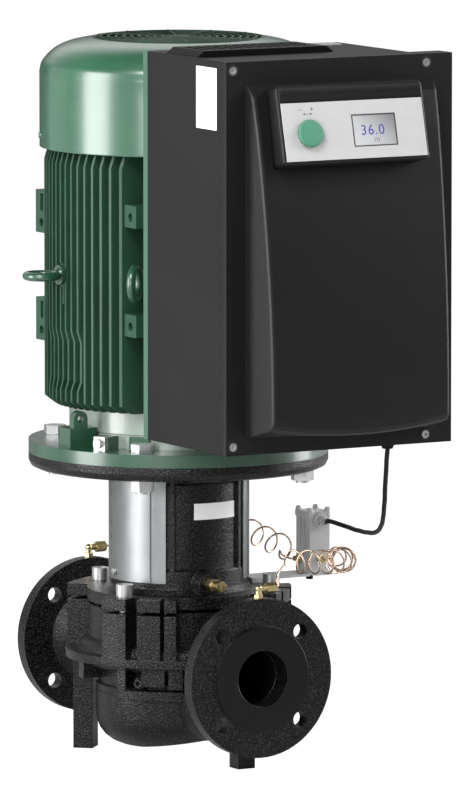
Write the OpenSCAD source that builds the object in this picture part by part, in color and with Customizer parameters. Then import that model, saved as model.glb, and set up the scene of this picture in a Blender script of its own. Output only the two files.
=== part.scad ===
// Vertical in-line centrifugal pump with a finned electric motor and a converter module.
// The origin is the centre of the suction flange's sealing face. +Y is the direction of flow
// to the discharge flange, +Z is up along the motor shaft, and all lengths are in millimetres.

/* [Pipe connections] */
// Bore of both ports
port_d = 65; // [60:0.5:68]
// Outside diameter of both pipe flanges
flange_d = 185; // [180:1:190]
// Thickness of a pipe flange with its raised face
flange_t = 20; // [18:1:24]
// Diameter of the raised sealing face
face_d = 122; // [110:1:126]
// Height of the raised sealing face
face_h = 3; // [2:0.5:4]
// Bolt circle diameter of the pipe flanges
port_pcd = 145; // [144:1:150]
// Bolt holes in the pipe flanges
port_hole_d = 18; // [14:1:18]
// Suction face to the motor shaft
inlet_l = 200; // [196:1:215]
// Suction face to the discharge face
face_to_face = 430; // [426:1:450]
// Length of the straight round bore behind each face
port_l = 26; // [22:1:32]
// Wall of the inlet and outlet tubes
tube_wall = 9; // [7:0.5:12]

/* [Casing] */
// Joint plane between casing and lantern, above the pipe axis
casing_top = 66; // [64:0.5:70]
// Radius of the casing wall above the belt
casing_r = 105; // [103:0.5:108]
// Radius of the belt and of the lugs
lug_r = 132; // [129:0.5:135]
// Underside of the belt above the pipe axis
belt_z = 4; // [2:0.5:6]
// Thickness of the belt
belt_t = 10; // [8:0.5:12]
// Radius of the suction bowl
bowl_r = 97; // [94:0.5:100]
// Depth of the suction bowl below the pipe axis
bowl_z = 99; // [95:0.5:104]
// Wall of the suction bowl
bowl_wall = 10; // [7:0.5:14]
// Floor level of the feet below the pipe axis
foot_z = 110; // [108:0.5:125]
// Width of the front foot, across the flow
foot_w = 22; // [18:0.5:26]
// Width of a back foot, across its radius
post_w = 27; // [23:0.5:32]
// Tapped holes in the feet
foot_hole_d = 10; // [8:0.5:12]
// Depth of the tapped holes in the feet
foot_hole_l = 18; // [14:1:24]
// Drain plug thread diameter
plug_d = 8; // [7:0.5:10]

/* [Impeller and shaft] */
// Impeller diameter
impeller_d = 136; // [120:1:138]
// Diameter of the impeller eye
eye_d = 60; // [54:1:62]
// Number of impeller blades
blade_n = 6; // [5:1:7]
// Thickness of the blades and shrouds
blade_t = 4; // [3:0.25:4.5]
// Height of the flow passage at the impeller rim
passage_h = 14; // [12:0.5:16]
// Pump shaft diameter in the seal
shaft_d = 28; // [26:0.5:30]
// Impeller seat diameter
hub_bore_d = 24; // [20:0.5:24]
// Motor shaft diameter at its lower end
motor_shaft_d = 42; // [38:0.5:44]
// Length of the motor shaft below the motor flange
motor_shaft_l = 110; // [100:1:112]
// Outside diameter of the stub shaft's sleeve
sleeve_d = 64; // [58:1:68]

/* [Lantern] */
// Gap between casing and lantern lugs
joint_gap = 4; // [3:0.25:5]
// Thickness of the lantern's foot flange
lantern_foot_t = 14; // [12:0.5:16]
// Height of the lantern above its foot face
lantern_h = 174; // [168:1:190]
// Outside radius of the neck
neck_r = 76; // [74:0.5:78]
// Wall of the neck
neck_wall = 10; // [7:0.5:12]
// Half angle of the front and back arms
arm_angle = 41; // [36:0.5:46]
// Thickness of the lantern's top flange
lantern_flange_t = 17; // [15:0.5:20]
// Outside diameter of the motor flange
motor_flange_d = 350; // [346:1:356]
// Bolt circle diameter of the motor flange
motor_pcd = 300; // [296:1:306]
// Diameter of the motor flange's register
register_d = 250; // [240:1:256]
// Height of the register
register_h = 5; // [4:0.5:6]
// Casing screw size
casing_screw_d = 12; // [10:0.5:14]
// Outside radius of the coupling guards
guard_r = 81.7; // [81.5:0.1:83]
// Thickness of the guard sheet
guard_t = 1.2; // [0.8:0.1:1.6]

/* [Motor] */
// Thickness of the motor flange
motor_flange_t = 15; // [13:0.5:18]
// Height of the neck between flange and frame
shield_neck_h = 16; // [14:0.5:20]
// Length of the motor frame
frame_l = 335; // [332:1:345]
// Outside radius of the frame's wall
frame_r = 127; // [126:0.5:129]
// Thickness of the frame's wall
frame_wall = 8; // [7:0.5:8.5]
// Radius of the fin tips
fin_r = 156; // [150:0.5:158]
// Spacing of the fins
fin_pitch = 11.4; // [11:0.2:12.4]
// Thickness of a fin
fin_t = 3; // [2.4:0.1:4]
// Flange bolt size
flange_bolt_d = 16; // [14:1:18]
// Length of the stator core
stator_l = 180; // [160:1:190]
// Inside radius of the stator core
stator_bore_r = 76; // [74:0.5:78]
// Running gap between rotor and stator
air_gap = 0.6; // [0.4:0.1:1]
// Number of fan blades
fan_blade_n = 8; // [6:1:10]
// Outside radius of the fan cover
cover_r = 161.3; // [160:0.1:164]
// Height of the fan cover
cover_h = 127.5; // [125:0.5:136]
// Sheet thickness of the fan cover
cover_t = 2; // [1.5:0.1:2.5]
// Ring spacing of the fan grille
grille_pitch = 9; // [8:0.5:11]
// Eyebolt ring diameter, at the middle of its bar
eye_ring_d = 35; // [32:0.5:38]
// Eyebolt bar diameter
eye_bar_d = 10; // [8:0.5:12]

/* [Converter module] */
// Width of the module
module_w = 294; // [290:1:300]
// Level of the module's underside above the motor flange
module_lift = 26.6; // [25:0.2:32]
// Height of the module
module_h = 444; // [438:1:452]
// Depth of the module housing behind its cover
module_d = 176; // [170:1:182]
// Thickness of the cover's rim
rim_t = 6; // [5:0.5:8]
// Wall of housing and cover
module_wall = 4; // [3:0.25:5]
// Thickness of the adapter plate
adapter_t = 10; // [8:0.5:12]
// Motor shaft to the adapter plate
adapter_y = 183; // [178:0.5:186]
// Width of the cover's hood
hood_w = 243; // [238:1:248]
// Deepest point of the hood in front of the cover
hood_d = 52; // [50:0.5:56]
// Width of the display bezel
bezel_w = 189; // [184:1:192]
// Height of the display bezel along its slope
bezel_h = 87; // [84:0.5:90]
// Depth of the display bezel
bezel_d = 34; // [32:0.5:36]
// Tilt of the display
display_tilt = 13.9; // [12:0.1:15]
// Knob diameter
knob_d = 32; // [28:0.5:34]
// Knob height
knob_h = 5; // [4.5:0.25:7]
// Travel of the knob when it is pressed
press_travel = 1.5; // [1:0.1:2]

/* [Pressure sensor] */
// Width of the sensor body
sensor_w = 27; // [25:0.5:30]
// Depth of the sensor body
sensor_d = 32; // [29:0.5:35]
// Height of the sensor body
sensor_h = 66; // [60:1:72]
// Motor shaft to the middle of the sensor
sensor_x = 176.5; // [172:0.5:182]
// Copper capillary diameter
capillary_d = 2.2; // [1.8:0.1:2.6]
// Coil radius of the capillaries
coil_r = 13.5; // [12:0.5:15]
// Signal cable diameter
cable_d = 5.5; // [5:0.25:6]

/* [Hidden] */
// Preview smoothness of round shapes
$fn = 72;
// Clearance of pieces that sit inside each other
fit = 0.05;
// Running clearance of pieces that turn past each other
run = 0.3;
// Overshoot of a cutting shape
cut = 1;

port_r = port_d / 2;
outlet_l = face_to_face - inlet_l;
neck_in = neck_r - neck_wall;
mouth_r = 84;
mouth_depth = 20;
gasket_t = 1.5;
mouth_z = casing_top - mouth_depth;
lantern_z = casing_top + joint_gap;
lug_top = lantern_z + lantern_foot_t;
lantern_top = lantern_z + lantern_h;
lantern_flange_z = lantern_top - lantern_flange_t;
shield_top = lantern_top + motor_flange_t;
frame_z = shield_top + shield_neck_h;
frame_top = frame_z + frame_l;
cover_z = frame_top - 9;
cover_top = cover_z + cover_h;
fin_z = frame_z + 27;
fin_top = cover_z - 1;
frame_in = frame_r - frame_wall;

// Spans of the plain and the bolted lugs on the left half, as start and end angle
plain_lugs = [[127, 142], [219.6, 231.7], [233.8, 239.9]];
screw_angles = [118.7, 205.8];
bolt_lug_half = 7.4;
screw_ring_r = 108.5;
screw_head_d = 20;
screw_head_h = 14;

// Back feet and front foot from the motor shaft, and the drain hole
foot_angle = 137;
post_r = 112.5;
front_foot_r = 151.5;
drain_angle = 215.5;
drain_z = -17;

// Ledge round the front of the bowl, and the lug ends above it as start angle, end angle and level
bowl_corner = 36;
ledge_z = -36;
ledge_top = -26;
ledge_span = [205, 335];
lug_ends = [[219.6, 233.2, -19], [235.3, 243.5, -22], [203.5, 209.5, -24], [160, 171, -19]];

throat_z = -8;
volute_r = 14;
volute_ring_r = 85;
volute_z = 27;
chamber_r = 73;
chamber_z = 2;
ring_wall = 5;
eye_r = eye_d / 2;
eye_out = eye_r + 5;

shaft_r = shaft_d / 2;
sleeve_r = sleeve_d / 2;
motor_shaft_r = motor_shaft_d / 2;
motor_shaft_z = lantern_top - motor_shaft_l;
hub_bore_r = hub_bore_d / 2;
hub_r = 20;
hub_top = mouth_z - 5;
hub_z = 12;
nut_h = 9;
seal_r = 26;
seal_z = lantern_z - 8;
seal_top = lug_top + 4;

bearing_w = 25;
bearing_r = 50;
bearing_seat_r = 22.5;
bearing_z = shield_top + 3;
rear_bearing_w = 19;
rear_bearing_r = 42.5;
rear_bearing_z = frame_top - 7;
rear_shield_t = 16;
core_seat_r = 27;
core_z = frame_z + 65;
fan_z = frame_top + 35;
fan_h = 40;
fan_r = 128;

module_z = shield_top + module_lift;
module_top = module_z + module_h;
module_back = adapter_y + adapter_t;
module_front = module_back + module_d;
hood_low = 19.5;
hood_drop = 28;
hood_top_d = 13.5;
hood_soft = 4;
hood_facet = 12;
hood_bow = 12;
hood_draft = 0.12;
face_y = module_front + rim_t;
gasket_h = 2;
display_x = -7.5;
display_z = module_top - 71;
display_out = 43.5;
panel_w = 182;
panel_h = 66;
panel_t = 2.4;
panel_drop = 7;
knob_x = -59.5;
knob_y = -9.6;
lcd_x = 25.8;
lcd_y = -8.3;
lcd_w = 56;
lcd_h = 36;
plunger_r = 7;
// Underside of the released knob above the display face
knob_lift = 1 + press_travel + run;
knob_shaft_r = 3;

earth_angle = 204;
cover_fixings = [70, 160, 250, 340];
vent_x = -11;
vent_z = lug_top + 14;

sensor_y = -8;
sensor_z = lug_top + 6;
sensor_cap_h = 10;
port_level = sensor_z + 17;
gland_level = sensor_z + sensor_h - 2;
bracket_t = 3;
side_level = (frame_z + frame_top) / 2 + 15;
pad_top = side_level + 88;
pad_low_top = side_level - 38;
top_vent_y = 300;
top_vent_l = 72;
top_vent_h = 7;
gland_x = 107;
gland_y = -300;
gland_h = 14;

// Points of the signal cable from the sensor to the module, seen from the motor shaft
cable_points = [
    [176.5, -42, 154], [177, -52, 154], [178, -64, 153], [179, -76, 152], [180, -88, 151],
    [180, -100, 150], [180, -112, 150], [179, -124, 150], [177, -136, 151], [175, -148, 152],
    [172, -160, 154], [168, -172, 157], [164, -184, 161], [159, -196, 166], [154, -208, 172],
    [148, -220, 179], [142, -232, 187], [136, -243, 196], [131, -253, 205], [126, -262, 215],
    [121, -271, 225], [117, -279, 235], [113, -287, 246], [110, -293, 258], [108, -298, 268],
    [107, -300, 272]
];

// Places its children at the motor shaft, on the pipe axis
module on_shaft() {
    translate([0, inlet_l, 0]) children();
}

// Adds the mirror image across the flow plane
module both_sides() {
    children();
    mirror([1, 0, 0]) children();
}

// Round bar between two levels on the shaft
module bar(r, low, high) {
    translate([0, 0, low]) cylinder(r = r, h = high - low);
}

// Ring between two levels on the shaft
module ring(r_out, r_in, low, high) {
    translate([0, 0, low]) difference() {
        cylinder(r = r_out, h = high - low);
        translate([0, 0, -cut]) cylinder(r = r_in, h = high - low + 2 * cut);
    }
}

// Part of a ring between two angles
module sector(r_in, r_out, start, end, low, high) {
    rotate([0, 0, start]) rotate_extrude(angle = end - start)
        translate([r_in, low]) square([r_out - r_in, high - low]);
}

// Round bar along Y between two places
module bar_y(r, from, to) {
    translate([0, to, 0]) rotate([90, 0, 0]) cylinder(r = r, h = to - from);
}

// Hexagon head or nut of a width across its flats
module hexagon(flats, h) {
    cylinder(d = flats / cos(30), h = h, $fn = 6);
}

function unit(v) = v / norm(v);
function tangent(points, i) =
    unit(points[min(i + 1, len(points) - 1)] - points[max(i - 1, 0)]);
function square_to(n, t) = unit(n - (n * t) * t);

// Solid through a row of outlines with equal numbers of points
module loft(outlines) {
    last = len(outlines) - 1;
    sides = len(outlines[0]);
    corners = [for (outline = outlines) each outline];
    walls = [for (i = [0:last - 1], k = [0:sides - 1])
        let (a = i * sides + k, b = i * sides + (k + 1) % sides)
        each [[a, a + sides, b + sides], [a, b + sides, b]]];
    caps = [[for (k = [0:sides - 1]) k], [for (k = [sides - 1:-1:0]) last * sides + k]];
    polyhedron(points = corners, faces = concat(walls, caps));
}

// Tube swept along points. Each ring starts at its own side direction and has its own radius.
module sweep(points, normals, radii, sides) {
    loft([for (i = [0:len(points) - 1])
        let (t = tangent(points, i), n = square_to(normals[i], t), b = cross(t, n))
        [for (k = [0:sides - 1])
            points[i] + radii[i] * (cos(k * 360 / sides) * n + sin(k * 360 / sides) * b)]]);
}

function same(value, points) = [for (p = points) value];

// Middle line of the inlet tube, from its flange down into the suction bowl
inlet_points = [[0, port_l - inlet_l - 4, 0], [0, port_l - inlet_l + 4, 0], [0, -156, -4], [0, -138, -14],
    [0, -116, -28], [0, -94, -42], [0, -70, -50]];
inlet_radii = [port_r - 0.6, port_r - 0.6, port_r + 1, port_r + 3, port_r + 5, port_r + 6, port_r + 6];
// Middle line of the outlet tube, from the volute to its flange
outlet_points = [[-66, 48, 27], [-56, 80, 25], [-40, 112, 18], [-20, 144, 8], [-6, 174, 2],
    [0, outlet_l - port_l - 4, 0], [0, outlet_l - port_l + 4, 0]];
outlet_radii = [volute_r - 1, volute_r + 4, volute_r + 10, port_r - 4, port_r - 1, port_r - 0.6,
    port_r - 0.6];

module tube_core(points, radii, more) {
    sweep(points, same([1, 0, 0.2], points), [for (r = radii) r + more], 20);
}

module pipe_flange() {
    difference() {
        union() {
            cylinder(d = face_d, h = flange_t);
            translate([0, 0, face_h]) cylinder(d = flange_d, h = flange_t - face_h);
            translate([0, 0, flange_t]) cylinder(r1 = port_r + 22, r2 = port_r + tube_wall, h = 14);
        }
        for (k = [0:3]) rotate([0, 0, 45 + 90 * k]) translate([port_pcd / 2, 0, -cut])
            cylinder(d = port_hole_d, h = flange_t + 2 * cut);
    }
}

// Wedge of a disc between two angles
module slice(r, start, end) {
    intersection() {
        circle(r = r);
        polygon([[0, 0], for (a = [start, (start + end) / 2, end]) 2 * r * [cos(a), sin(a)]]);
    }
}

// Disc with the lugs of casing or lantern, between two levels
module lugged_disc(r, low, high) {
    translate([0, 0, low]) linear_extrude(high - low) {
        circle(r = r);
        both_sides() {
            for (span = plain_lugs) slice(lug_r, span[0], span[1]);
            for (a = screw_angles) slice(lug_r, a - bolt_lug_half, a + bolt_lug_half);
        }
    }
}

// Places its children at each casing screw
module at_casing_screws() {
    both_sides() for (a = screw_angles) rotate([0, 0, a]) translate([screw_ring_r, 0, 0]) children();
}

module volute_casing() {
    color([0.13, 0.13, 0.13]) on_shaft() difference() {
        union() {
            lugged_disc(casing_r, belt_z + belt_t / 2, casing_top);
            bar(lug_r + 0.4, belt_z, belt_z + belt_t);
            rotate_extrude() translate([casing_r - 3, belt_z + belt_t - 3]) circle(r = 17);
            rotate_extrude() polygon(bowl_outline(bowl_r, -bowl_z, ledge_z, bowl_corner));
            bar(bowl_r - 4, -bowl_z / 2, belt_z + 3);
            sector(bowl_r - 20, bowl_r - 0.5, 150, ledge_span[0] + 1, ledge_z - 4, ledge_top - 1);
            sector(bowl_r - 20, bowl_r + 12, ledge_span[0], ledge_span[1], ledge_z - 1, ledge_top);
            // Lower ends of the lugs, under the belt
            both_sides() for (span = lug_ends) translate([0, 0, span[2]]) linear_extrude(belt_z + 1 - span[2])
                slice(lug_r - 14, span[0], span[1]);
            tube_core(inlet_points, inlet_radii, tube_wall);
            tube_core(outlet_points, outlet_radii, tube_wall - 1);
            bar_y(port_r + tube_wall, -inlet_l + flange_t, -155);
            bar_y(port_r + tube_wall, 170, outlet_l - flange_t);
            translate([0, -inlet_l, 0]) rotate([-90, 0, 0]) pipe_flange();
            translate([0, outlet_l, 0]) rotate([90, 0, 0]) pipe_flange();
            translate([-foot_w / 2, -front_foot_r - 10.5, -foot_z]) cube([foot_w, 21, foot_z - port_r]);
            both_sides() rotate([0, 0, foot_angle]) translate([post_r - 11.5, -post_w / 2, -foot_z])
                cube([23, post_w, foot_z + belt_z + 1]);
            at_drain() cylinder(d = plug_d + 6, h = bowl_r + 10);
        }
        bar(mouth_r, mouth_z, casing_top + cut);
        bar(chamber_r, chamber_z, mouth_z + cut);
        rotate_extrude() translate([volute_ring_r, volute_z]) circle(r = volute_r);
        bar(eye_out + run + ring_wall, throat_z, chamber_z + cut);
        bar(eye_r, -30, throat_z + cut);
        rotate_extrude() polygon(bowl_outline(bowl_r - bowl_wall, bowl_wall - bowl_z, drain_z - 1,
            bowl_corner - bowl_wall));
        tube_core(inlet_points, inlet_radii, 0);
        tube_core(outlet_points, outlet_radii, 0);
        bar_y(port_r, -inlet_l - cut, port_l - inlet_l);
        bar_y(port_r, outlet_l - port_l, outlet_l + cut);
        at_casing_screws() bar(casing_screw_d / 2 + fit, casing_top - 26, casing_top + cut);
        at_feet() translate([0, 0, -foot_z - cut]) cylinder(d = foot_hole_d, h = foot_hole_l + cut);
        at_drain() translate([0, 0, bowl_r - 20]) cylinder(d = plug_d + 2 * fit, h = 40);
        translate([0, 10 - inlet_l, flange_d / 2 - 12]) cylinder(d = 6 + 2 * fit, h = 20);
        translate([0, outlet_l - 10, flange_d / 2 - 12]) cylinder(d = 6 + 2 * fit, h = 20);
    }
}

// Outline of a bowl: radius, floor, rim and the radius of its lower corner
function bowl_outline(r, low, high, corner) = concat([[0, high], [r, high]],
    [for (a = [0:-15:-90]) [r - corner + corner * cos(a), low + corner + corner * sin(a)]],
    [[0, low]]);

// Places its children on the axis of each foot's tapped hole
module at_feet() {
    translate([0, -front_foot_r, 0]) children();
    both_sides() rotate([0, 0, foot_angle]) translate([post_r, 0, 0]) children();
}

// Places its children at the drain hole, with z pointing out of the casing
module at_drain() {
    rotate([0, 0, drain_angle]) translate([0, 0, drain_z]) rotate([0, 90, 0]) children();
}

module drain_plug() {
    color([0.16, 0.16, 0.16]) on_shaft() at_drain()
        difference() {
            union() {
                translate([0, 0, bowl_r - 2]) cylinder(d = plug_d, h = 12 + cut);
                translate([0, 0, bowl_r + 10]) cylinder(d = plug_d + 3, h = 3.5);
            }
            translate([0, 0, bowl_r + 9]) hexagon(4, 6);
        }
}

module wear_ring() {
    color([0.7, 0.6, 0.35]) on_shaft()
        ring(eye_out + run + ring_wall - fit, eye_out + run, throat_z, chamber_z);
}

// One curved blade: an arc from the eye to the rim
module blade() {
    wrap = 62;
    low = eye_r - 4;
    high = impeller_d / 2 - 0.5;
    steps = 8;
    outer = [for (i = [0:steps]) let (r = low + (high - low) * i / steps, a = wrap * pow(i / steps, 0.8))
        [r * cos(a), r * sin(a)]];
    inner = [for (i = [steps:-1:0]) let (r = low + (high - low) * i / steps,
        a = wrap * pow(i / steps, 0.8) + blade_t / r * 57.3) [r * cos(a), r * sin(a)]];
    polygon(concat(outer, inner));
}

module impeller() {
    rim = impeller_d / 2;
    back = hub_top - 4;
    front = back - passage_h - 4;
    color([0.55, 0.5, 0.42]) on_shaft() difference() {
        union() {
            bar(rim, back, back + blade_t);
            bar(hub_r, hub_z + 4, hub_top);
            rotate_extrude() polygon([[eye_r, throat_z + 2], [eye_out, throat_z + 2],
                [eye_out, chamber_z + 3], [rim, front], [rim, front + blade_t],
                [eye_r + 3, chamber_z + 9], [eye_r, chamber_z + 4]]);
            intersection() {
                translate([0, 0, chamber_z + 2]) linear_extrude(back - chamber_z - 1)
                    for (k = [0:blade_n - 1]) rotate(k * 360 / blade_n) blade();
                rotate_extrude() polygon([[eye_r - 6, chamber_z + 7], [eye_r + 2, chamber_z + 8],
                    [rim, front + 1], [rim, back + 1], [eye_r - 6, back + 1]]);
            }
        }
        bar(hub_bore_r + fit, 0, hub_top + cut);
    }
}

module impeller_nut() {
    color("silver") on_shaft() difference() {
        translate([0, 0, hub_z + 4 - nut_h]) hexagon(24, nut_h);
        bar(8 + fit, 0, hub_z + 5);
    }
}

module casing_gasket() {
    color([0.25, 0.32, 0.28]) on_shaft() ring(mouth_r - fit, chamber_r, mouth_z, mouth_z + gasket_t);
}

module seal_seat() {
    color([0.8, 0.8, 0.78]) on_shaft() ring(seal_r - fit, shaft_r + 1, seal_z, seal_z + 8);
}

module seal_head() {
    color([0.35, 0.35, 0.36]) on_shaft() ring(seal_r - 4, shaft_r + fit, seal_z + 8, seal_z + 15);
}

module seal_spring() {
    turns = 3;
    steps = turns * 14;
    mid = shaft_r + 3;
    low = seal_z + 16.1;
    high = seal_top - 4;
    points = [for (i = [0:steps]) let (a = i * 360 / 14)
        [mid * cos(a), mid * sin(a), low + (high - low) * i / steps]];
    color("silver") on_shaft() {
        sweep(points, [for (p = points) [p[0], p[1], 0]], same(0.9, points), 6);
        ring(mid + 2, shaft_r + fit, seal_top - 3.4, seal_top);
    }
}

module stub_shaft() {
    color([0.72, 0.73, 0.75]) on_shaft() difference() {
        union() {
            bar(8, hub_z + 4 - nut_h - 2, hub_z + 4);
            bar(hub_bore_r, hub_z + 4, hub_top + 0.5);
            bar(shaft_r, hub_top + 0.5, seal_top + 6);
            translate([0, 0, seal_top + 6]) cylinder(r1 = shaft_r, r2 = sleeve_r, h = 18);
            bar(sleeve_r, seal_top + 24, lantern_top - 10);
        }
        bar(motor_shaft_r + fit, motor_shaft_z - 1, lantern_top);
        for (side = [-1, 1]) translate([side * 24, 0, motor_shaft_z + 30]) rotate([90, 0, 0])
            cylinder(d = 6, h = sleeve_d, center = true);
    }
}

module lantern() {
    collar_r = guard_r - guard_t - 0.2;
    flange_z = lantern_flange_z;
    flange_r = motor_flange_d / 2;
    color([0.12, 0.12, 0.12]) on_shaft() difference() {
        union() {
            lugged_disc(casing_r + 2, lantern_z, lug_top);
            bar(mouth_r - fit, mouth_z + gasket_t, lantern_z + cut);
            rotate_extrude() polygon([[0, lug_top - 2], [collar_r + 6, lug_top - 2], [collar_r + 6, lug_top],
                [collar_r, lug_top + 6],
                [collar_r, lug_top + 26], [neck_r, lug_top + 30], [neck_r, flange_z - 16],
                [collar_r, flange_z - 12], [collar_r, flange_z + cut], [0, flange_z + cut]]);
            rotate_extrude() polygon([[0, flange_z], [flange_r - 8, flange_z],
                [flange_r - 2.5, flange_z + 2.5], [flange_r, flange_z + 8], [flange_r, lantern_top],
                [0, lantern_top]]);
            // Raised edges of the front and back arms
            for (side = [0, 180]) rotate([0, 0, side]) both_sides()
                sector(neck_r - 2, neck_r + 4, 270 - arm_angle + 5, 270 - arm_angle + 9, lug_top + 20,
                    lantern_flange_z - 10);
            translate([vent_x, 0, vent_z]) bar_y(14, -neck_r - 19, -neck_r + 8);
        }
        bar(neck_in, lug_top + 12, lantern_top + cut);
        bar(register_d / 2 + fit, lantern_top - register_h, lantern_top + cut);
        bar(seal_r, seal_z, lug_top + 13);
        bar(shaft_r + 1, mouth_z - cut, seal_z + cut);
        for (side = [-1, 1]) translate([side * neck_r - 30, -neck_r * cos(arm_angle), lug_top + 28])
            cube([60, 2 * neck_r * cos(arm_angle), lantern_flange_z - lug_top - 42]);
        at_flange_bolts() bar(flange_bolt_d / 2 + 1, lantern_flange_z - 2 * cut, lantern_top + cut);
        at_casing_screws() bar(casing_screw_d / 2 + 0.6, lantern_z - cut, lug_top + cut);
        translate([vent_x, 0, vent_z]) bar_y(5 + fit, -neck_r - 20, -neck_in - 2);
        at_guard_screws() translate([0, 0, -10]) cylinder(r = 2.5 + fit, h = 20);
    }
}

// Places its children at each motor flange bolt
module at_flange_bolts() {
    for (k = [0:3]) rotate([0, 0, 45 + 90 * k]) translate([motor_pcd / 2, 0, 0]) children();
}

// Places its children on the face of each guard screw, looking outwards
module at_guard_screws() {
    for (a = [4, 176]) rotate([0, 0, a]) translate([guard_r, 0, lug_top + 22]) rotate([0, 90, 0]) children();
}

// Curved guard sheet over the left window, with ventilation slots and a folded seam
module guard() {
    half = 90 - arm_angle + 1.5;
    difference() {
        union() {
            sector(guard_r - guard_t, guard_r, 180 - half, 180 + half, lug_top + 13, lantern_flange_z - 2);
            sector(guard_r - guard_t / 2, guard_r + 1.6, 180 + half - 15, 180 + half - 13, lug_top + 14,
                lantern_flange_z - 3);
        }
        for (a = [12, 24, 36], k = [0:5]) rotate([0, 0, 180 - a])
            translate([guard_r - 5, -1.2, lug_top + 40 + 17 * k]) cube([10, 2.4, 9]);
        at_guard_screws() translate([0, 0, -4]) cylinder(r = 2.8, h = 8);
    }
}

module left_guard() {
    color([0.8, 0.81, 0.82]) on_shaft() guard();
}

module right_guard() {
    color([0.8, 0.81, 0.82]) on_shaft() mirror([1, 0, 0]) guard();
}

module guard_screws() {
    color("silver") on_shaft() at_guard_screws() difference() {
        union() {
            translate([0, 0, -10]) cylinder(r = 2.5, h = 10.3);
            translate([0, 0, 0.3]) cylinder(r1 = 4.5, r2 = 3.6, h = 2.6);
        }
        translate([0, 0, 1.4]) hexagon(3, 3);
    }
}

module casing_screws() {
    color([0.75, 0.76, 0.77]) on_shaft() at_casing_screws() difference() {
        union() {
            bar(casing_screw_d / 2, casing_top - 22, lug_top + 1);
            bar(screw_head_d / 2, lug_top, lug_top + screw_head_h);
        }
        translate([0, 0, lug_top + screw_head_h - 7]) hexagon(10, 8);
    }
}

module vent_body() {
    color([0.75, 0.62, 0.3]) on_shaft() translate([vent_x, -neck_r - 19, vent_z]) rotate([90, 0, 0])
        difference() {
        union() {
            translate([0, 0, -12]) cylinder(r = 5, h = 13);
            hexagon(13, 12);
            cylinder(r = 5.2, h = 18);
        }
        translate([0, 0, 6]) cylinder(r = 3 + fit, h = 20);
    }
}

module vent_screw() {
    color([0.8, 0.66, 0.33]) on_shaft() translate([vent_x, -neck_r - 19, vent_z]) rotate([90, 0, 0])
        difference() {
        union() {
            translate([0, 0, 7]) cylinder(r = 3, h = 14);
            translate([0, 0, 18.4]) cylinder(r = 6.4, h = 9);
        }
        translate([-1, -8, 25.5]) cube([2, 16, 4]);
    }
}

module motor_shaft() {
    color([0.7, 0.71, 0.73]) on_shaft() {
        bar(motor_shaft_r, motor_shaft_z, bearing_z - 2);
        bar(bearing_seat_r, bearing_z - 2, bearing_z + bearing_w);
        bar(core_seat_r, bearing_z + bearing_w, rear_bearing_z);
        bar(bearing_seat_r, rear_bearing_z, rear_bearing_z + rear_bearing_w + 4);
        bar(20, rear_bearing_z + rear_bearing_w + 4, fan_z + fan_h - 4);
    }
}

module rotor_core() {
    color([0.5, 0.5, 0.52]) on_shaft() {
        ring(stator_bore_r - air_gap, core_seat_r + fit, core_z, core_z + stator_l);
        ring(stator_bore_r - 6, stator_bore_r - 22, core_z - 12, core_z);
        ring(stator_bore_r - 6, stator_bore_r - 22, core_z + stator_l, core_z + stator_l + 12);
    }
}

module stator_core() {
    color([0.45, 0.46, 0.48]) on_shaft() ring(frame_in - fit, stator_bore_r, core_z, core_z + stator_l);
}

module windings() {
    color([0.72, 0.4, 0.2]) on_shaft() for (low = [core_z - 34, core_z + stator_l])
        rotate_extrude() polygon([[stator_bore_r + 4, low + 4], [stator_bore_r + 10, low],
            [frame_in - 12, low], [frame_in - 6, low + 4], [frame_in - 6, low + 30], [frame_in - 9, low + 34],
            [stator_bore_r + 7, low + 34], [stator_bore_r + 4, low + 30]]);
}

// The two bearings as [level, width, outer radius]
bearings = [[bearing_z, bearing_w, bearing_r], [rear_bearing_z, rear_bearing_w, rear_bearing_r]];
function ball_ring_r(b) = (b[2] + bearing_seat_r) / 2;
function ball_r(b) = (b[2] - bearing_seat_r) * 0.26;

module bearing_outer_rings() {
    color([0.62, 0.63, 0.65]) on_shaft() for (b = bearings) difference() {
        ring(b[2] - fit, ball_ring_r(b) + ball_r(b) * 0.6, b[0], b[0] + b[1]);
        translate([0, 0, b[0] + b[1] / 2]) rotate_extrude() translate([ball_ring_r(b), 0])
            circle(r = ball_r(b) + 0.3);
    }
}

module bearing_inner_rings() {
    color([0.68, 0.69, 0.71]) on_shaft() for (b = bearings) difference() {
        ring(ball_ring_r(b) - ball_r(b) * 0.6, bearing_seat_r + fit, b[0], b[0] + b[1]);
        translate([0, 0, b[0] + b[1] / 2]) rotate_extrude() translate([ball_ring_r(b), 0])
            circle(r = ball_r(b) + fit);
    }
}

module bearing_balls() {
    color("silver") on_shaft() for (b = bearings, k = [0:8]) rotate([0, 0, 40 * k])
        translate([ball_ring_r(b), 0, b[0] + b[1] / 2]) sphere(r = ball_r(b), $fn = 24);
}

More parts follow.
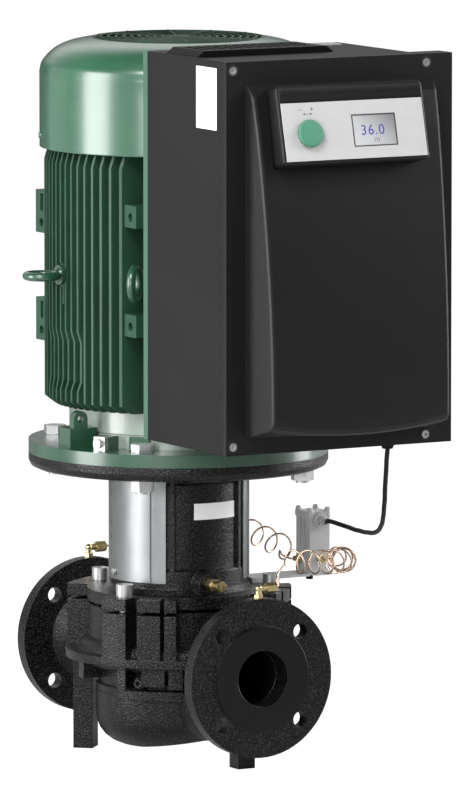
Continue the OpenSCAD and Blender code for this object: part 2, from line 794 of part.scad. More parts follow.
module drive_end_shield() {
    hub_r2 = bearing_r + 8;
    color([0.25, 0.45, 0.33]) on_shaft() difference() {
        union() {
            bar(motor_flange_d / 2, lantern_top, shield_top);
            bar(register_d / 2, lantern_top - register_h + 0.3, lantern_top + cut);
            rotate_extrude() polygon([[0, shield_top], [118, shield_top], [114, shield_top + 5],
                [112, frame_z], [0, frame_z]]);
            bar(frame_in - fit, frame_z - cut, frame_z + 9);
            bar(hub_r2, lantern_top, bearing_z + bearing_w + 2);
            // Block with a drilled ear, earth block and a rib beside the bolts
            translate([-163, -36, shield_top - cut]) cube([162 - frame_r, 26, 24]);
            translate([-158, -36, shield_top + 22]) cube([18, 10, 12]);
            translate([-149, -26, shield_top + 34]) rotate([90, 0, 0]) cylinder(r = 9, h = 10);
            rotate([0, 0, earth_angle]) translate([108, -9, shield_top - cut]) cube([38, 18, shield_neck_h]);
            for (a = [125, 221]) rotate([0, 0, a]) translate([108, -12, shield_top - cut])
                cube([26, 24, shield_neck_h]);
        }
        ring(104, hub_r2, lantern_top + 6, frame_z + 10);
        bar(bearing_r, bearing_z, bearing_z + bearing_w + 3);
        bar(bearing_seat_r + 3, lantern_top - 6, bearing_z + cut);
        translate([-149, -25, shield_top + 34]) rotate([90, 0, 0]) cylinder(r = 4, h = 12);
        at_flange_bolts() bar(flange_bolt_d / 2 + 1, lantern_top - cut, shield_top + cut);
    }
}

module earth_clamp() {
    color([0.82, 0.83, 0.84]) on_shaft() rotate([0, 0, earth_angle]) translate([146, 0, shield_top]) {
        translate([0, -8, 0]) cube([6, 16, shield_neck_h - cut]);
        translate([6, 0, 7.5]) rotate([0, 90, 0]) hexagon(10, 5);
    }
}

// Side profile of one long fin, with or without its jog, drawn as level against place
module fin_line(jog) {
    low = fin_z;
    high = fin_top;
    bend_low = low + 22;
    bend_high = side_level - 64;
    shift = jog * fin_pitch / 2;
    half = fin_t / 2;
    polygon(concat([[-half, low], [half, low]],
        jog == 0 ? [] : [[half, bend_low], [half + shift, bend_low + 12], [half + shift, bend_high - 12],
            [half, bend_high]],
        [[half, high], [-half, high]],
        jog == 0 ? [] : [[-half, bend_high], [-half + shift, bend_high - 12], [-half + shift, bend_low + 12],
            [-half, bend_low]]));
}

// Fins of one side: parallel plates that end on one cylinder
module side_fins(count, jog) {
    for (k = [-count:count]) translate([-fin_r, k * fin_pitch, 0]) rotate([90, 0, 90])
        linear_extrude(fin_r - frame_r + 60 - abs(k) * 1.5) fin_line(abs(k) <= 3 ? jog : 0);
}

module foot_pad(low, high, y) {
    difference() {
        translate([-123, y, low]) cube([45, 27, high - low]);
        translate([-124, y + 13.5, low + 12]) rotate([0, 90, 0]) cylinder(r = 5, h = 12);
        if (high - low > 40) translate([-124, y + 9, low + 26]) cube([12, 7, 20]);
    }
}

module motor_frame() {
    color([0.3, 0.5, 0.38]) on_shaft() difference() {
        union() {
            bar(frame_r, frame_z, frame_top);
            intersection() {
                union() {
                    side_fins(8, -1);
                    rotate([0, 0, 180]) side_fins(8, 0);
                    rotate([0, 0, -90]) side_fins(7, 0);
                }
                rotate_extrude() polygon([[0, fin_z], [fin_r - 12, fin_z], [fin_r, fin_z + 9],
                    [fin_r, fin_top - 14], [fin_r - 4, fin_top], [0, fin_top]]);
            }
            translate([-88, -adapter_y, fin_z]) cube([176, adapter_y - 90, fin_top - fin_z - 6]);
            both_sides() for (y = [-121.5, 94.5]) {
                tall = y > 0 ? 50 : 26;
                foot_pad(pad_top - tall, pad_top, y);
                foot_pad(pad_low_top - tall, pad_low_top, y);
            }
            // Bosses of the two eyebolts
            for (a = [0, 45]) rotate([0, 0, a]) translate([0, 0, side_level]) rotate([0, -90, 0])
                cylinder(r = 13, h = fin_r - 2);
            translate([-fin_r + 2, -5, side_level - 34]) cube([32, 10, 24]);
        }
        bar(frame_in, frame_z - cut, frame_top + cut);
        for (a = [0, 45]) rotate([0, 0, a]) translate([-frame_r - 3, 0, side_level]) rotate([0, -90, 0]) {
            cylinder(r = 6 + fit, h = 40);
            translate([0, 0, fin_r - frame_r - 5]) cylinder(r = 14, h = 10);
        }
    }
}

module rear_end_shield() {
    color([0.28, 0.46, 0.35]) on_shaft() difference() {
        union() {
            bar(frame_r - 2, frame_top, frame_top + 8);
            bar(frame_in - fit, frame_top - 10, frame_top + cut);
            bar(rear_bearing_r + 8, frame_top - 12, frame_top + rear_shield_t);
        }
        ring(frame_in - 8, rear_bearing_r + 8, frame_top - 13, frame_top);
        bar(rear_bearing_r, rear_bearing_z - 6, rear_bearing_z + rear_bearing_w);
        bar(bearing_seat_r + 3, frame_top - 12, frame_top + 20);
        at_cover_screws() translate([0, 0, -46]) cylinder(r = 2 + fit, h = 20);
    }
}

// Places its children at the fan cover screws, on the cover's wall and looking outwards
module at_cover_screws() {
    for (a = cover_fixings) rotate([0, 0, a]) translate([cover_r, 0, cover_z + 14])
        rotate([0, 90, 0]) children();
}

module cooling_fan() {
    color([0.2, 0.22, 0.21]) on_shaft() difference() {
        union() {
            bar(32, fan_z, fan_z + fan_h - 6);
            bar(fan_r - 8, fan_z, fan_z + 3);
            for (k = [0:fan_blade_n - 1]) rotate([0, 0, k * 360 / fan_blade_n])
                translate([28, -1.5, fan_z + 1]) cube([fan_r - 28, 3, fan_h - 8]);
        }
        bar(20 + fit, fan_z - cut, fan_z + fan_h);
    }
}

module fan_cover() {
    low = cover_z;
    top = cover_top;
    r = cover_r;
    outer = [[r, low], [r, top - 40], [r - 2, top - 31], [r - 6.3, top - 24.5], [r - 12.3, top - 18],
        [r - 21.3, top - 11.5], [r - 33.3, top - 6.5], [r - 62.3, top - 1], [r - 62.3, top - 1 - cover_t]];
    inner = [[r - 33.3 - 0.5, top - 6.5 - cover_t], [r - 22.3, top - 11.5 - cover_t * 0.9],
        [r - 13.5, top - 18.5 - cover_t * 0.8], [r - 7.8, top - 25.5 - cover_t * 0.5], [r - 3.9, top - 32],
        [r - cover_t, top - 41], [r - cover_t, low]];
    grille_out = r - 62;
    color([0.4, 0.58, 0.47]) on_shaft() difference() {
        union() {
            rotate_extrude() polygon(concat(outer, inner));
            // Rings and spokes of the grille
            for (g = [grille_out - 2:-grille_pitch:14]) ring(g, g - 3.4, top - 3.4, top);
            ring(grille_out, grille_out - 4, top - 4, top);
            for (k = [0:11]) rotate([0, 0, 30 * k + 8]) translate([12, -1.5, top - 3.2])
                cube([grille_out - 13, 3, 2.6]);
            bar(14.5, top - 3.4, top);
            // Distance blocks that carry the cover on the rear shield
            for (a = cover_fixings) rotate([0, 0, a])
                translate([frame_r - 1.8, -8, cover_z + 10]) cube([cover_r - frame_r + 1, 16, 8]);
        }
        at_cover_screws() translate([0, 0, -45]) cylinder(r = 2.2, h = 50);
    }
}

module fan_cover_screws() {
    color([0.3, 0.45, 0.36]) on_shaft() at_cover_screws() difference() {
        union() {
            translate([0, 0, -44]) cylinder(r = 2, h = 44.4);
            translate([0, 0, 0.1]) cylinder(r1 = 4.2, r2 = 3.4, h = 2.2);
        }
        translate([0, 0, 1.2]) hexagon(3, 3);
    }
}

// Lifting eyebolt that points along its local -X, with its ring flat or upright
module eyebolt(upright) {
    out = fin_r - 1.5;
    mid = out + 8 + eye_ring_d / 2;
    translate([-mid, 0, side_level]) rotate([upright ? 90 : 0, 0, 0])
        rotate_extrude() translate([eye_ring_d / 2, 0]) circle(d = eye_bar_d);
    translate([-out, 0, side_level]) rotate([0, -90, 0]) {
        translate([0, 0, -18]) cylinder(r = 6, h = 19);
        cylinder(r = 11.5, h = 4.5);
        translate([0, 0, 4]) cylinder(r1 = 9, r2 = 6, h = 5);
    }
}

module side_eyebolt() {
    color([0.24, 0.44, 0.32]) on_shaft() eyebolt(false);
}

module corner_eyebolt() {
    color([0.24, 0.44, 0.32]) on_shaft() rotate([0, 0, 45]) eyebolt(true);
}

module flange_bolts() {
    color([0.8, 0.81, 0.82]) on_shaft() at_flange_bolts() {
        bar(flange_bolt_d / 2, lantern_flange_z - 16, shield_top + cut);
        translate([0, 0, shield_top]) hexagon(24, 10);
    }
}

module flange_nuts() {
    color([0.8, 0.81, 0.82]) on_shaft() at_flange_bolts() difference() {
        translate([0, 0, lantern_flange_z - 13]) hexagon(24, 13);
        bar(flange_bolt_d / 2 + fit, lantern_flange_z - 14, lantern_flange_z + cut);
    }
}

// Places its children in the module's frame: middle of its back at its lower edge, y towards the front
module in_module() {
    on_shaft() translate([0, 0, module_z]) children();
}

module adapter_plate() {
    color([0.4, 0.58, 0.47]) on_shaft() difference() {
        translate([0, -adapter_y, module_z]) rotate([90, 0, 0]) linear_extrude(adapter_t)
            polygon(housing_outline(0));
        translate([-60, -adapter_y - adapter_t - cut, side_level - 40]) cube([120, adapter_t + 2 * cut, 80]);
    }
}

// Front view of the housing behind its front frame: its upper right corner falls away
function housing_outline(inset) = let (side = module_w / 2 - inset)
    [[-side, inset], [side, inset], [side, module_h - 24 - inset], [107, module_h - inset],
        [-side, module_h - inset]];

// Upright plate of the module between two depths, set in from its outline
module front_frame(inset, back, front) {
    translate([inset - module_w / 2, -front, inset])
        cube([module_w - 2 * inset, front - back, module_h - 2 * inset]);
}

module module_housing() {
    frame_back = module_front - 24;
    color([0.26, 0.26, 0.26]) in_module() difference() {
        union() {
            difference() {
                union() {
                    translate([0, -module_back, 0]) rotate([90, 0, 0]) linear_extrude(module_d)
                        polygon(housing_outline(0));
                    front_frame(0, frame_back, module_front);
                }
                translate([0, -module_back - module_wall, 0]) rotate([90, 0, 0])
                    linear_extrude(module_d) polygon(housing_outline(module_wall));
                front_frame(module_wall, frame_back + module_wall, module_front + cut);
            }
            // Screw bosses behind the cover's gasket, grown from the top and bottom walls
            for (p = cover_screw_places) translate([p[0], 0, p[1]])
                bar_y(7, gasket_h + fit - module_front, 24 - module_front);
        }
        translate([gland_x, gland_y, -cut]) cylinder(r = 6 + fit, h = module_wall + 2 * cut);
        for (p = cover_screw_places) translate([p[0], 0, p[1]])
            bar_y(2.5 + fit, -module_front - cut, 18 - module_front);
    }
}

// Depth of the hood in front of the cover, from its top to its bottom, as a smooth curve
function hood_depth(s) = hood_top_d + (hood_d - hood_top_d) * sin(90 * pow(s, 0.86));

// Rows of the hood from its lower edge up, as level, depth and rise towards the sides
function hood_rows(inset) = let (low = hood_low + inset, high = module_h - hood_drop - inset,
        edge = high - hood_facet, deep = hood_d - inset)
    concat([[low, 6 - inset, 0], [low + 1.5, deep - 8, hood_bow * 0.9], [low + 4, deep - 3, hood_bow],
            [low + 9, deep - 0.5, hood_bow]],
        [for (i = [0:9]) let (s = 1 - i / 9)
            [edge - (edge - low - 18) * s, hood_depth(s) - inset, hood_bow * 0.9 * pow(s, 3)]],
        [[high, 1.5 - inset, 0]]);

// Outline of the hood at one row: drafted sides, small round corners and a slightly bowed front
function hood_outline(row, w, back) = let (d = row[1], front = w - hood_draft * d,
        r = max(0.3, min(hood_soft, d * 0.7)))
    [for (p = concat([[-w, back]],
        [for (a = [0:45:90]) [-front + r - r * cos(a), -d + r - r * sin(a)]],
        [for (k = [-4:4]) let (x = k / 5) [x * (front - r), -d - d * 0.05 * (1 - x * x)]],
        [for (a = [90:-45:0]) [front - r + r * cos(a), -d + r - r * sin(a)]],
        [[w, back]])) [p[0], p[1] - face_y, row[0] + row[2] * pow(p[0] / w, 2)]];

module hood(inset, back) {
    loft([for (row = hood_rows(inset)) hood_outline(row, hood_w / 2 - inset, back)]);
}

module cover_rim() {
    translate([-module_w / 2, -face_y, 0]) cube([module_w, rim_t, module_h]);
}

// Places its children on the tilted display face, with z pointing out of it
module on_display() {
    in_module() translate([display_x, -face_y - display_out, display_z - module_z])
        rotate([90 - display_tilt, 0, 0]) children();
}

cover_screw_places = [[-138, 10], [113, 10], [-138, module_h - 10], [113, module_h - 10]];

module module_cover() {
    color([0.2, 0.2, 0.2]) difference() {
        in_module() difference() {
            union() {
                cover_rim();
                hood(0, rim_t / 2);
            }
            hood(module_wall, rim_t + cut);
        }
        on_display() translate([-bezel_w / 2 - fit, -bezel_h / 2 - fit, -bezel_d])
            cube([bezel_w + 2 * fit, bezel_h + 2 * fit, 60]);
        in_module() for (p = cover_screw_places) translate([p[0], 0, p[1]]) {
            bar_y(2.5 + fit, -face_y - cut, -module_front + cut);
            bar_y(7, -face_y - cut, -face_y + 3);
        }
    }
}

module cover_gasket() {
    color([0.1, 0.1, 0.1]) in_module() difference() {
        front_frame(module_wall + fit, module_front - gasket_h, module_front);
        front_frame(module_wall + 2, module_front - gasket_h - cut, module_front + cut);
    }
}

module cover_screws() {
    color("silver") in_module() for (p = cover_screw_places)
        translate([p[0], -face_y + 3, p[1]]) rotate([90, 0, 0]) difference() {
            union() {
                translate([0, 0, -16]) cylinder(r = 2.5, h = 17);
                cylinder(r = 5, h = 3.4);
            }
            translate([0, 0, 1.6]) hexagon(4, 3);
        }
}

module top_vent() {
    pitch = 12;
    left = 5 - module_w / 2;
    color([0.08, 0.08, 0.08]) in_module() translate([0, -top_vent_y, module_h]) difference() {
        rotate([90, 0, 180]) linear_extrude(top_vent_l)
            polygon([[-35, 0], [-left, 0], [-left - 9, top_vent_h], [-26, top_vent_h]]);
        for (x = [left + 16:pitch:12]) translate([x, 14, 3]) cube([7, top_vent_l - 26, top_vent_h]);
    }
}

module power_board() {
    w = module_w - 74;
    h = module_h - 114;
    color([0.1, 0.35, 0.2]) in_module() translate([-w / 2, -module_back - module_wall - 12, 40]) {
        cube([w, 2, h]);
        translate([20, -30, 40]) cube([60, 30.5, 90]);
        translate([110, -40, 180]) cube([80, 40.5, 60]);
        for (x = [10, w - 10], z = [10, h - 10]) translate([x, 11.9, z]) rotate([90, 0, 0])
            cylinder(r = 4, h = 10.2);
    }
}

module display_bezel() {
    color([0.16, 0.16, 0.17]) on_display() difference() {
        translate([-bezel_w / 2, -bezel_h / 2, -bezel_d]) difference() {
            cube([bezel_w, bezel_h, bezel_d]);
            translate([4, 4, -cut]) cube([bezel_w - 8, bezel_h - 8, bezel_d - 5 + cut]);
        }
        panel_pocket(fit);
        translate([knob_x, knob_y, -12]) cylinder(r = plunger_r + 1, h = 14);
        translate([lcd_x - lcd_w / 2 - 2, lcd_y - lcd_h / 2 - 2, -12]) cube([lcd_w + 4, lcd_h + 4, 14]);
    }
}

module panel_pocket(more) {
    translate([-panel_w / 2 - more, -panel_h / 2 - panel_drop - more, -panel_t + 1])
        cube([panel_w + 2 * more, panel_h + 2 * more, panel_t + 2]);
}

module display_panel() {
    color([0.87, 0.87, 0.87]) on_display() difference() {
        translate([-panel_w / 2, -panel_h / 2 - panel_drop, -panel_t + 1]) cube([panel_w, panel_h, panel_t]);
        translate([knob_x, knob_y, -4]) cylinder(r = plunger_r + 1, h = 8);
        translate([lcd_x - lcd_w / 2 - fit, lcd_y - lcd_h / 2 - fit, -4])
            cube([lcd_w + 2 * fit, lcd_h + 2 * fit, 8]);
    }
}

module lcd_window() {
    color([0.7, 0.72, 0.78]) on_display() translate([lcd_x, lcd_y, 0]) {
        translate([-lcd_w / 2, -lcd_h / 2, -5]) cube([lcd_w, lcd_h, 5.6]);
        translate([-lcd_w / 2 - 1.5, -lcd_h / 2 - 1.5, -8]) cube([lcd_w + 3, lcd_h + 3, 6.4]);
    }
}

module encoder_body() {
    color([0.2, 0.22, 0.25]) on_display() translate([knob_x, knob_y, 0]) difference() {
        translate([-9, -9, -18]) cube([18, 18, 12 - fit]);
        translate([0, 0, -14]) cylinder(r = plunger_r - 2 + run, h = 20);
    }
}

module encoder_plunger() {
    color([0.6, 0.6, 0.62]) on_display() translate([knob_x, knob_y, 0]) difference() {
        union() {
            translate([0, 0, -11]) cylinder(r = plunger_r - 2, h = 12);
            translate([0, 0, -2]) cylinder(r = plunger_r, h = 3.6);
        }
        translate([0, 0, -8]) cylinder(r = knob_shaft_r + fit, h = 12);
    }
}

module knob_shaft() {
    color([0.75, 0.75, 0.76]) on_display() translate([knob_x, knob_y, -7.7])
        cylinder(r = knob_shaft_r, h = 7.7 + knob_lift + knob_h - 2 - fit);
}

module knob() {
    color([0.3, 0.6, 0.47]) on_display() translate([knob_x, knob_y, knob_lift]) difference() {
        rotate_extrude() polygon([[0, 0], [knob_d / 2, 0], [knob_d / 2 - 0.4, knob_h - 1],
            [knob_d / 2 - 1.4, knob_h], [0, knob_h]]);
        translate([0, 0, -cut]) cylinder(r = knob_shaft_r + fit, h = knob_h - 2 + cut);
        translate([0, 0, -cut]) cylinder(r = knob_d / 2 - 4, h = cut + 1.5);
    }
}

module module_gland() {
    color([0.1, 0.1, 0.1]) in_module() translate([gland_x, gland_y, 0]) difference() {
        union() {
            translate([0, 0, -gland_h]) cylinder(r1 = 6, r2 = 9, h = 7);
            translate([0, 0, 7 - gland_h]) hexagon(19, gland_h - 7);
            cylinder(r = 6, h = module_wall + 5);
        }
        translate([0, 0, -gland_h - cut]) cylinder(d = cable_d + 0.4, h = gland_h + 12);
    }
}

module signal_cable() {
    color([0.06, 0.06, 0.06]) on_shaft()
        sweep(cable_points, same([1, 0, 0.3], cable_points), same(cable_d / 2, cable_points), 8);
}

// Places its children at the middle of the sensor's foot
module at_sensor() {
    on_shaft() translate([sensor_x, sensor_y, sensor_z]) children();
}

module sensor_body() {
    w = sensor_w;
    d = sensor_d;
    color([0.75, 0.76, 0.77]) at_sensor() difference() {
        translate([-w / 2, -d / 2, 0]) cube([w, d, sensor_h]);
        // Grooves of the extrusion on both sides
        for (side = [-1, 1], y = [-8, 2]) translate([side * w / 2 - 2, y, -cut])
            cube([4, 5, sensor_h + 2 * cut]);
    }
}

module sensor_cap() {
    color([0.78, 0.79, 0.8]) at_sensor() translate([0, 0, sensor_h]) difference() {
        union() {
            translate([-sensor_w / 2 - 1, -sensor_d / 2, 0])
                cube([sensor_w + 2, sensor_d + 1, sensor_cap_h - 3]);
            at_cap_corners() cylinder(r = 3.4, h = sensor_cap_h);
        }
        at_cap_corners() translate([0, 0, sensor_cap_h - 5]) cylinder(r = 1.5 + fit, h = 6);
    }
}

module at_cap_corners() {
    for (x = [-1, 1], y = [-1, 1]) translate([x * (sensor_w / 2 - 2), y * (sensor_d / 2 - 2), 0]) children();
}

module sensor_cap_screws() {
    color([0.5, 0.5, 0.5]) at_sensor() translate([0, 0, sensor_h]) at_cap_corners() {
        translate([0, 0, sensor_cap_h - 4]) cylinder(r = 1.5, h = 4);
        translate([0, 0, sensor_cap_h]) cylinder(r = 2.6, h = 1.6);
    }
}

module sensor_gland() {
    color([0.7, 0.71, 0.72]) on_shaft() translate([sensor_x, sensor_y - sensor_d / 2, gland_level - 2])
        rotate([90, 0, 0]) difference() {
            union() {
                cylinder(r = 9.5, h = 4);
                cylinder(r = 6.5, h = 11);
                translate([0, 0, 8]) cylinder(r1 = 5.5, r2 = 4, h = 8);
            }
            translate([0, 0, 4]) cylinder(d = cable_d + 0.4, h = 14);
        }
}

module sensor_ports() {
    color([0.75, 0.62, 0.3]) on_shaft() {
        translate([sensor_x, sensor_y - sensor_d / 2, port_level]) rotate([90, 0, 0]) port_fitting();
        translate([sensor_x - sensor_w / 2, sensor_y + 2, port_level]) rotate([0, -90, 0]) port_fitting();
    }
}

module port_fitting() {
    difference() {
        union() {
            hexagon(9, 6);
            cylinder(r = 3.2, h = 11);
        }
        translate([0, 0, 5]) cylinder(d = capillary_d + 0.2, h = 8);
    }
}

module sensor_bracket() {
    color([0.7, 0.71, 0.72]) on_shaft() difference() {
        translate([casing_r - 26, -24, lug_top])
            cube([sensor_x + 18 - casing_r + 26, 36, bracket_t + 3 - 0.02]);
        translate([casing_r + 12, -25, lug_top - cut]) cube([sensor_x - casing_r + 20, 38, 4]);
        bar(guard_r + 7, lug_top - cut, lug_top + 10);
    }
}

// One brass elbow with its union nut, pointing along +X
module elbow() {
    bar(3, -10, 8);
    hexagon(10, 4);
    translate([0, 0, 11]) sphere(r = 4.2, $fn = 24);
    bar(3.6, 3, 11);
    translate([0, 0, 11]) rotate([0, 90, 0]) difference() {
        union() {
            cylinder(r = 3.6, h = 14);
            translate([0, 0, 9]) hexagon(11, 13);
        }
        translate([0, 0, 15]) cylinder(d = capillary_d + 0.2, h = 10);
    }
}

module pressure_elbows() {
    color([0.75, 0.62, 0.3]) on_shaft() {
        translate([0, 10 - inlet_l, flange_d / 2 + fit]) elbow();
        translate([0, outlet_l - 10, flange_d / 2 + fit]) elbow();
    }
}

elbow_end = [17, 0, 11];

// Suction line: up from its elbow, then a coil along a quarter of an ellipse to the sensor's front port
coil_start = [44, 26 - inlet_l, 130];
coil_end = [sensor_x, sensor_y - sensor_d / 2 - 28, port_level + 4];
suction_turns = 9.25;
function suction_mid(t) = [coil_start[0] + (coil_end[0] - coil_start[0]) * sin(90 * t),
    coil_start[1] + (coil_end[1] - coil_start[1]) * (1 - cos(90 * t)),
    coil_start[2] + (coil_end[2] - coil_start[2]) * t];
function suction_way(t) = unit(suction_mid(t + 0.01) - suction_mid(t - 0.01));
function around(mid, way, angle, r) = let (side = unit(cross(way, [0, 0, 1])), up = cross(side, way))
    mid + r * (cos(angle) * up + sin(angle) * side);
coil_steps = 12;

module suction_capillary() {
    steps = round(suction_turns * coil_steps);
    from = [elbow_end[0] + 6, 10 - inlet_l, flange_d / 2 + fit + elbow_end[2]];
    coil = [for (i = [0:steps]) let (t = i / steps, grow = min(1, i / 6 + 0.2, (steps - i) / 6 + 0.1))
        around(suction_mid(t), suction_way(t), 180 + 360 * suction_turns * t, coil_r * grow)];
    lead = [from + [-6, 0, 0], from, from + [3, 1, 2], from + [3.5, 4, 8], from + [6, 8, 13]];
    tail = [coil_end + [0, 8, -3], coil_end + [0, 14, -4],
        [coil_end[0], sensor_y - sensor_d / 2 - 6, port_level]];
    points = concat(lead, coil, tail);
    color([0.72, 0.45, 0.32]) on_shaft()
        sweep(points, same([0.13, 0.31, 0.94], points), same(capillary_d / 2, points), 6);
}

// Discharge line: from the far elbow round the lantern, three open turns, then the sensor's side port
discharge_turns = 3;
open_start = [133, 72, 134];
open_end = [144, -8, 118];

module discharge_capillary() {
    steps = round(discharge_turns * coil_steps);
    from = [elbow_end[0] + 6, outlet_l - 10, flange_d / 2 + fit + elbow_end[2]];
    way = unit(open_end - open_start);
    coil = [for (i = [0:steps]) let (t = i / steps)
        around(open_start + (open_end - open_start) * t, way, 90 - 360 * discharge_turns * t, coil_r)];
    lead = [from + [-6, 0, 0], from, from + [6, -1, 1], from + [20, -8, 6], from + [44, -28, 14],
        from + [72, -60, 22], from + [92, -96, 28], from + [102, -122, 32]];
    tail = [coil[steps] + [2, -3, -5], [sensor_x - sensor_w / 2 - 15, sensor_y + 2, port_level],
        [sensor_x - sensor_w / 2 - 6, sensor_y + 2, port_level]];
    points = concat(lead, coil, tail);
    color([0.72, 0.45, 0.32]) on_shaft()
        sweep(points, same([0.13, 0.31, 0.94], points), same(capillary_d / 2, points), 6);
}

volute_casing();
drain_plug();
wear_ring();
impeller();
impeller_nut();
casing_gasket();
seal_seat();
seal_head();
seal_spring();
stub_shaft();
lantern();
left_guard();
right_guard();
guard_screws();
casing_screws();
vent_body();
vent_screw();
motor_shaft();
rotor_core();
stator_core();
windings();
bearing_outer_rings();
bearing_inner_rings();
bearing_balls();
drive_end_shield();
motor_frame();
rear_end_shield();
cooling_fan();
fan_cover();
fan_cover_screws();
side_eyebolt();
corner_eyebolt();
flange_bolts();
flange_nuts();
earth_clamp();
adapter_plate();
module_housing();
module_cover();
cover_gasket();
cover_screws();
top_vent();
power_board();
display_bezel();
display_panel();
lcd_window();
encoder_body();
encoder_plunger();
knob_shaft();
knob();
module_gland();
signal_cable();
sensor_body();
sensor_cap();
sensor_cap_screws();
sensor_gland();
sensor_ports();
sensor_bracket();
pressure_elbows();
suction_capillary();
discharge_capillary();
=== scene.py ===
import math

import bmesh
import bpy
import numpy as np
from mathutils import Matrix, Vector


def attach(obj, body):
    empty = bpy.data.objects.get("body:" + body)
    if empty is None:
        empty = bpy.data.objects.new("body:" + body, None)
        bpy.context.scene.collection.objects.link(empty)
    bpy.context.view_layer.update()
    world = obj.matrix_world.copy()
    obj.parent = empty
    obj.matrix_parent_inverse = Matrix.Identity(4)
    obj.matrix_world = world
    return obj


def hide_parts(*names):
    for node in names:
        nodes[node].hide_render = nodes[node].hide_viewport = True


# In-line pump: finishes, cable, coils, fan cover, display, labels and motor neck round the CAD frame.
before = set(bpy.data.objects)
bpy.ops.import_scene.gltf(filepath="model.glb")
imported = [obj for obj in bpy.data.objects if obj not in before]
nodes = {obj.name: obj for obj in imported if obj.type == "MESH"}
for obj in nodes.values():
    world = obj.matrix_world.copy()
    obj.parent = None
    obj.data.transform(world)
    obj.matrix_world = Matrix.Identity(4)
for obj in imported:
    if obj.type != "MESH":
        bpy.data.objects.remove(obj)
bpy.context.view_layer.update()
scene = bpy.context.scene
shaftY = 0.200                       # motor shaft behind the suction face


def onShaft(points):
    # Moves points given from the motor shaft in millimetres to the row frame in metres.
    return np.asarray(points, float) * 0.001 + np.array([0, shaftY, 0])


print("stage: camera")
cameraView = {
    "azimuth": -29.39,
    "elevation": 6.747,
    "distance": 10.672,
    "target": (0.0751, 0.200, 0.2983),
    "focalPixels": 9118.5,
    "imageHeight": 800,
    "sensor": 36.0,
}


def makeCamera(view):
    az, el = math.radians(view["azimuth"]), math.radians(view["elevation"])
    back = Vector((math.sin(az) * math.cos(el), -math.cos(az) * math.cos(el), math.sin(el)))
    data = bpy.data.cameras.new("camera")
    data.sensor_width = view["sensor"]
    data.lens = view["focalPixels"] * view["sensor"] / view["imageHeight"]
    data.clip_end = 60
    camera = bpy.data.objects.new("camera", data)
    camera.location = Vector(view["target"]) + back * view["distance"]
    camera.rotation_mode = "QUATERNION"
    camera.rotation_quaternion = (-back).to_track_quat("-Z", "Y")
    scene.collection.objects.link(camera)
    scene.camera = camera


makeCamera(cameraView)


def meshPiece(name, vertices, faces, smooth=True):
    # A mesh object at the origin from arrays of points and faces.
    mesh = bpy.data.meshes.new(name)
    mesh.from_pydata([tuple(v) for v in vertices], [], [tuple(int(i) for i in f) for f in faces])
    mesh.polygons.foreach_set("use_smooth", [smooth] * len(mesh.polygons))
    mesh.update()
    piece = bpy.data.objects.new(name, mesh)
    scene.collection.objects.link(piece)
    return piece


def gridFaces(rows, columns, closed=False, closedRows=False):
    # Quads of a grid of rows by columns; closed joins the last column to the first, and closedRows
    # the last row to the first.
    down = rows if closedRows else rows - 1
    across = columns if closed else columns - 1
    i, k = np.meshgrid(np.arange(down), np.arange(across), indexing="ij")
    here, below = i * columns, (i + 1) % rows * columns
    after = (k + 1) % columns
    return np.stack([here + k, here + after, below + after, below + k], -1).reshape(-1, 4)


def boxPart(low, high):
    # Points and faces of a box between two corners.
    corners = np.array([[x, y, z] for x in (0, 1) for y in (0, 1) for z in (0, 1)], float)
    points = np.asarray(low, float) + corners * (np.asarray(high, float) - np.asarray(low, float))
    return points, [(0, 1, 3, 2), (4, 6, 7, 5), (0, 4, 5, 1), (2, 3, 7, 6), (0, 2, 6, 4), (1, 5, 7, 3)]


def lathePart(profile, steps, closedProfile, wave=0.0, waves=0):
    # A profile of radius and height turned round its axis. wave cuts that many waves of this depth
    # into the widest rows. An open profile gets a flat disc at both ends.
    p = np.asarray(profile, float)
    angle = np.arange(steps) * 2 * np.pi / steps
    widest = p[:, 0] > p[:, 0].max() - 1.0
    cut = np.where(widest, wave, 0.0)[:, None] * (0.5 - 0.5 * np.cos(waves * angle))
    reach = p[:, :1] - cut
    points = np.stack([reach * np.cos(angle), reach * np.sin(angle), np.repeat(p[:, 1:2], steps, 1)], -1)
    faces = [tuple(f) for f in gridFaces(len(p), steps, True, closedProfile)]
    if not closedProfile:
        faces.append(tuple(range(steps)))
        faces.append(tuple(range((len(p) - 1) * steps, len(p) * steps)))
    return points.reshape(-1, 3), faces


def joinedPiece(name, parts, place, smooth=True):
    # One mesh of several closed parts; place moves their points to the row frame.
    points, faces = [], []
    for partPoints, partFaces in parts:
        start = sum(len(p) for p in points)
        points.append(partPoints)
        faces += [tuple(int(i) + start for i in f) for f in partFaces]
    piece = meshPiece(name, place(np.vstack(points)), faces, smooth)
    recalculate(piece)
    return piece


def thinBody(outer, inner):
    # Points and faces of the closed body between two grids of points.
    rows, columns = outer.shape[:2]
    count = rows * columns
    faces = [tuple(f) for f in gridFaces(rows, columns)]
    faces += [tuple(f + count) for f in gridFaces(rows, columns)]
    index = np.arange(count).reshape(rows, columns)
    border = np.concatenate([index[0, :-1], index[:-1, -1], index[-1, :0:-1], index[:0:-1, 0]])
    faces += [(a, b, b + count, a + count) for a, b in zip(border, np.roll(border, -1))]
    return np.vstack([outer.reshape(-1, 3), inner.reshape(-1, 3)]), faces


def fitPiece(piece, body, material, slotName, *replaced):
    # Gives a new piece its material and its body, and hides the CAD nodes it stands for. slotName is not
    # used.
    piece.data.materials.append(material)
    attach(piece, body)
    if replaced:
        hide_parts(*replaced)


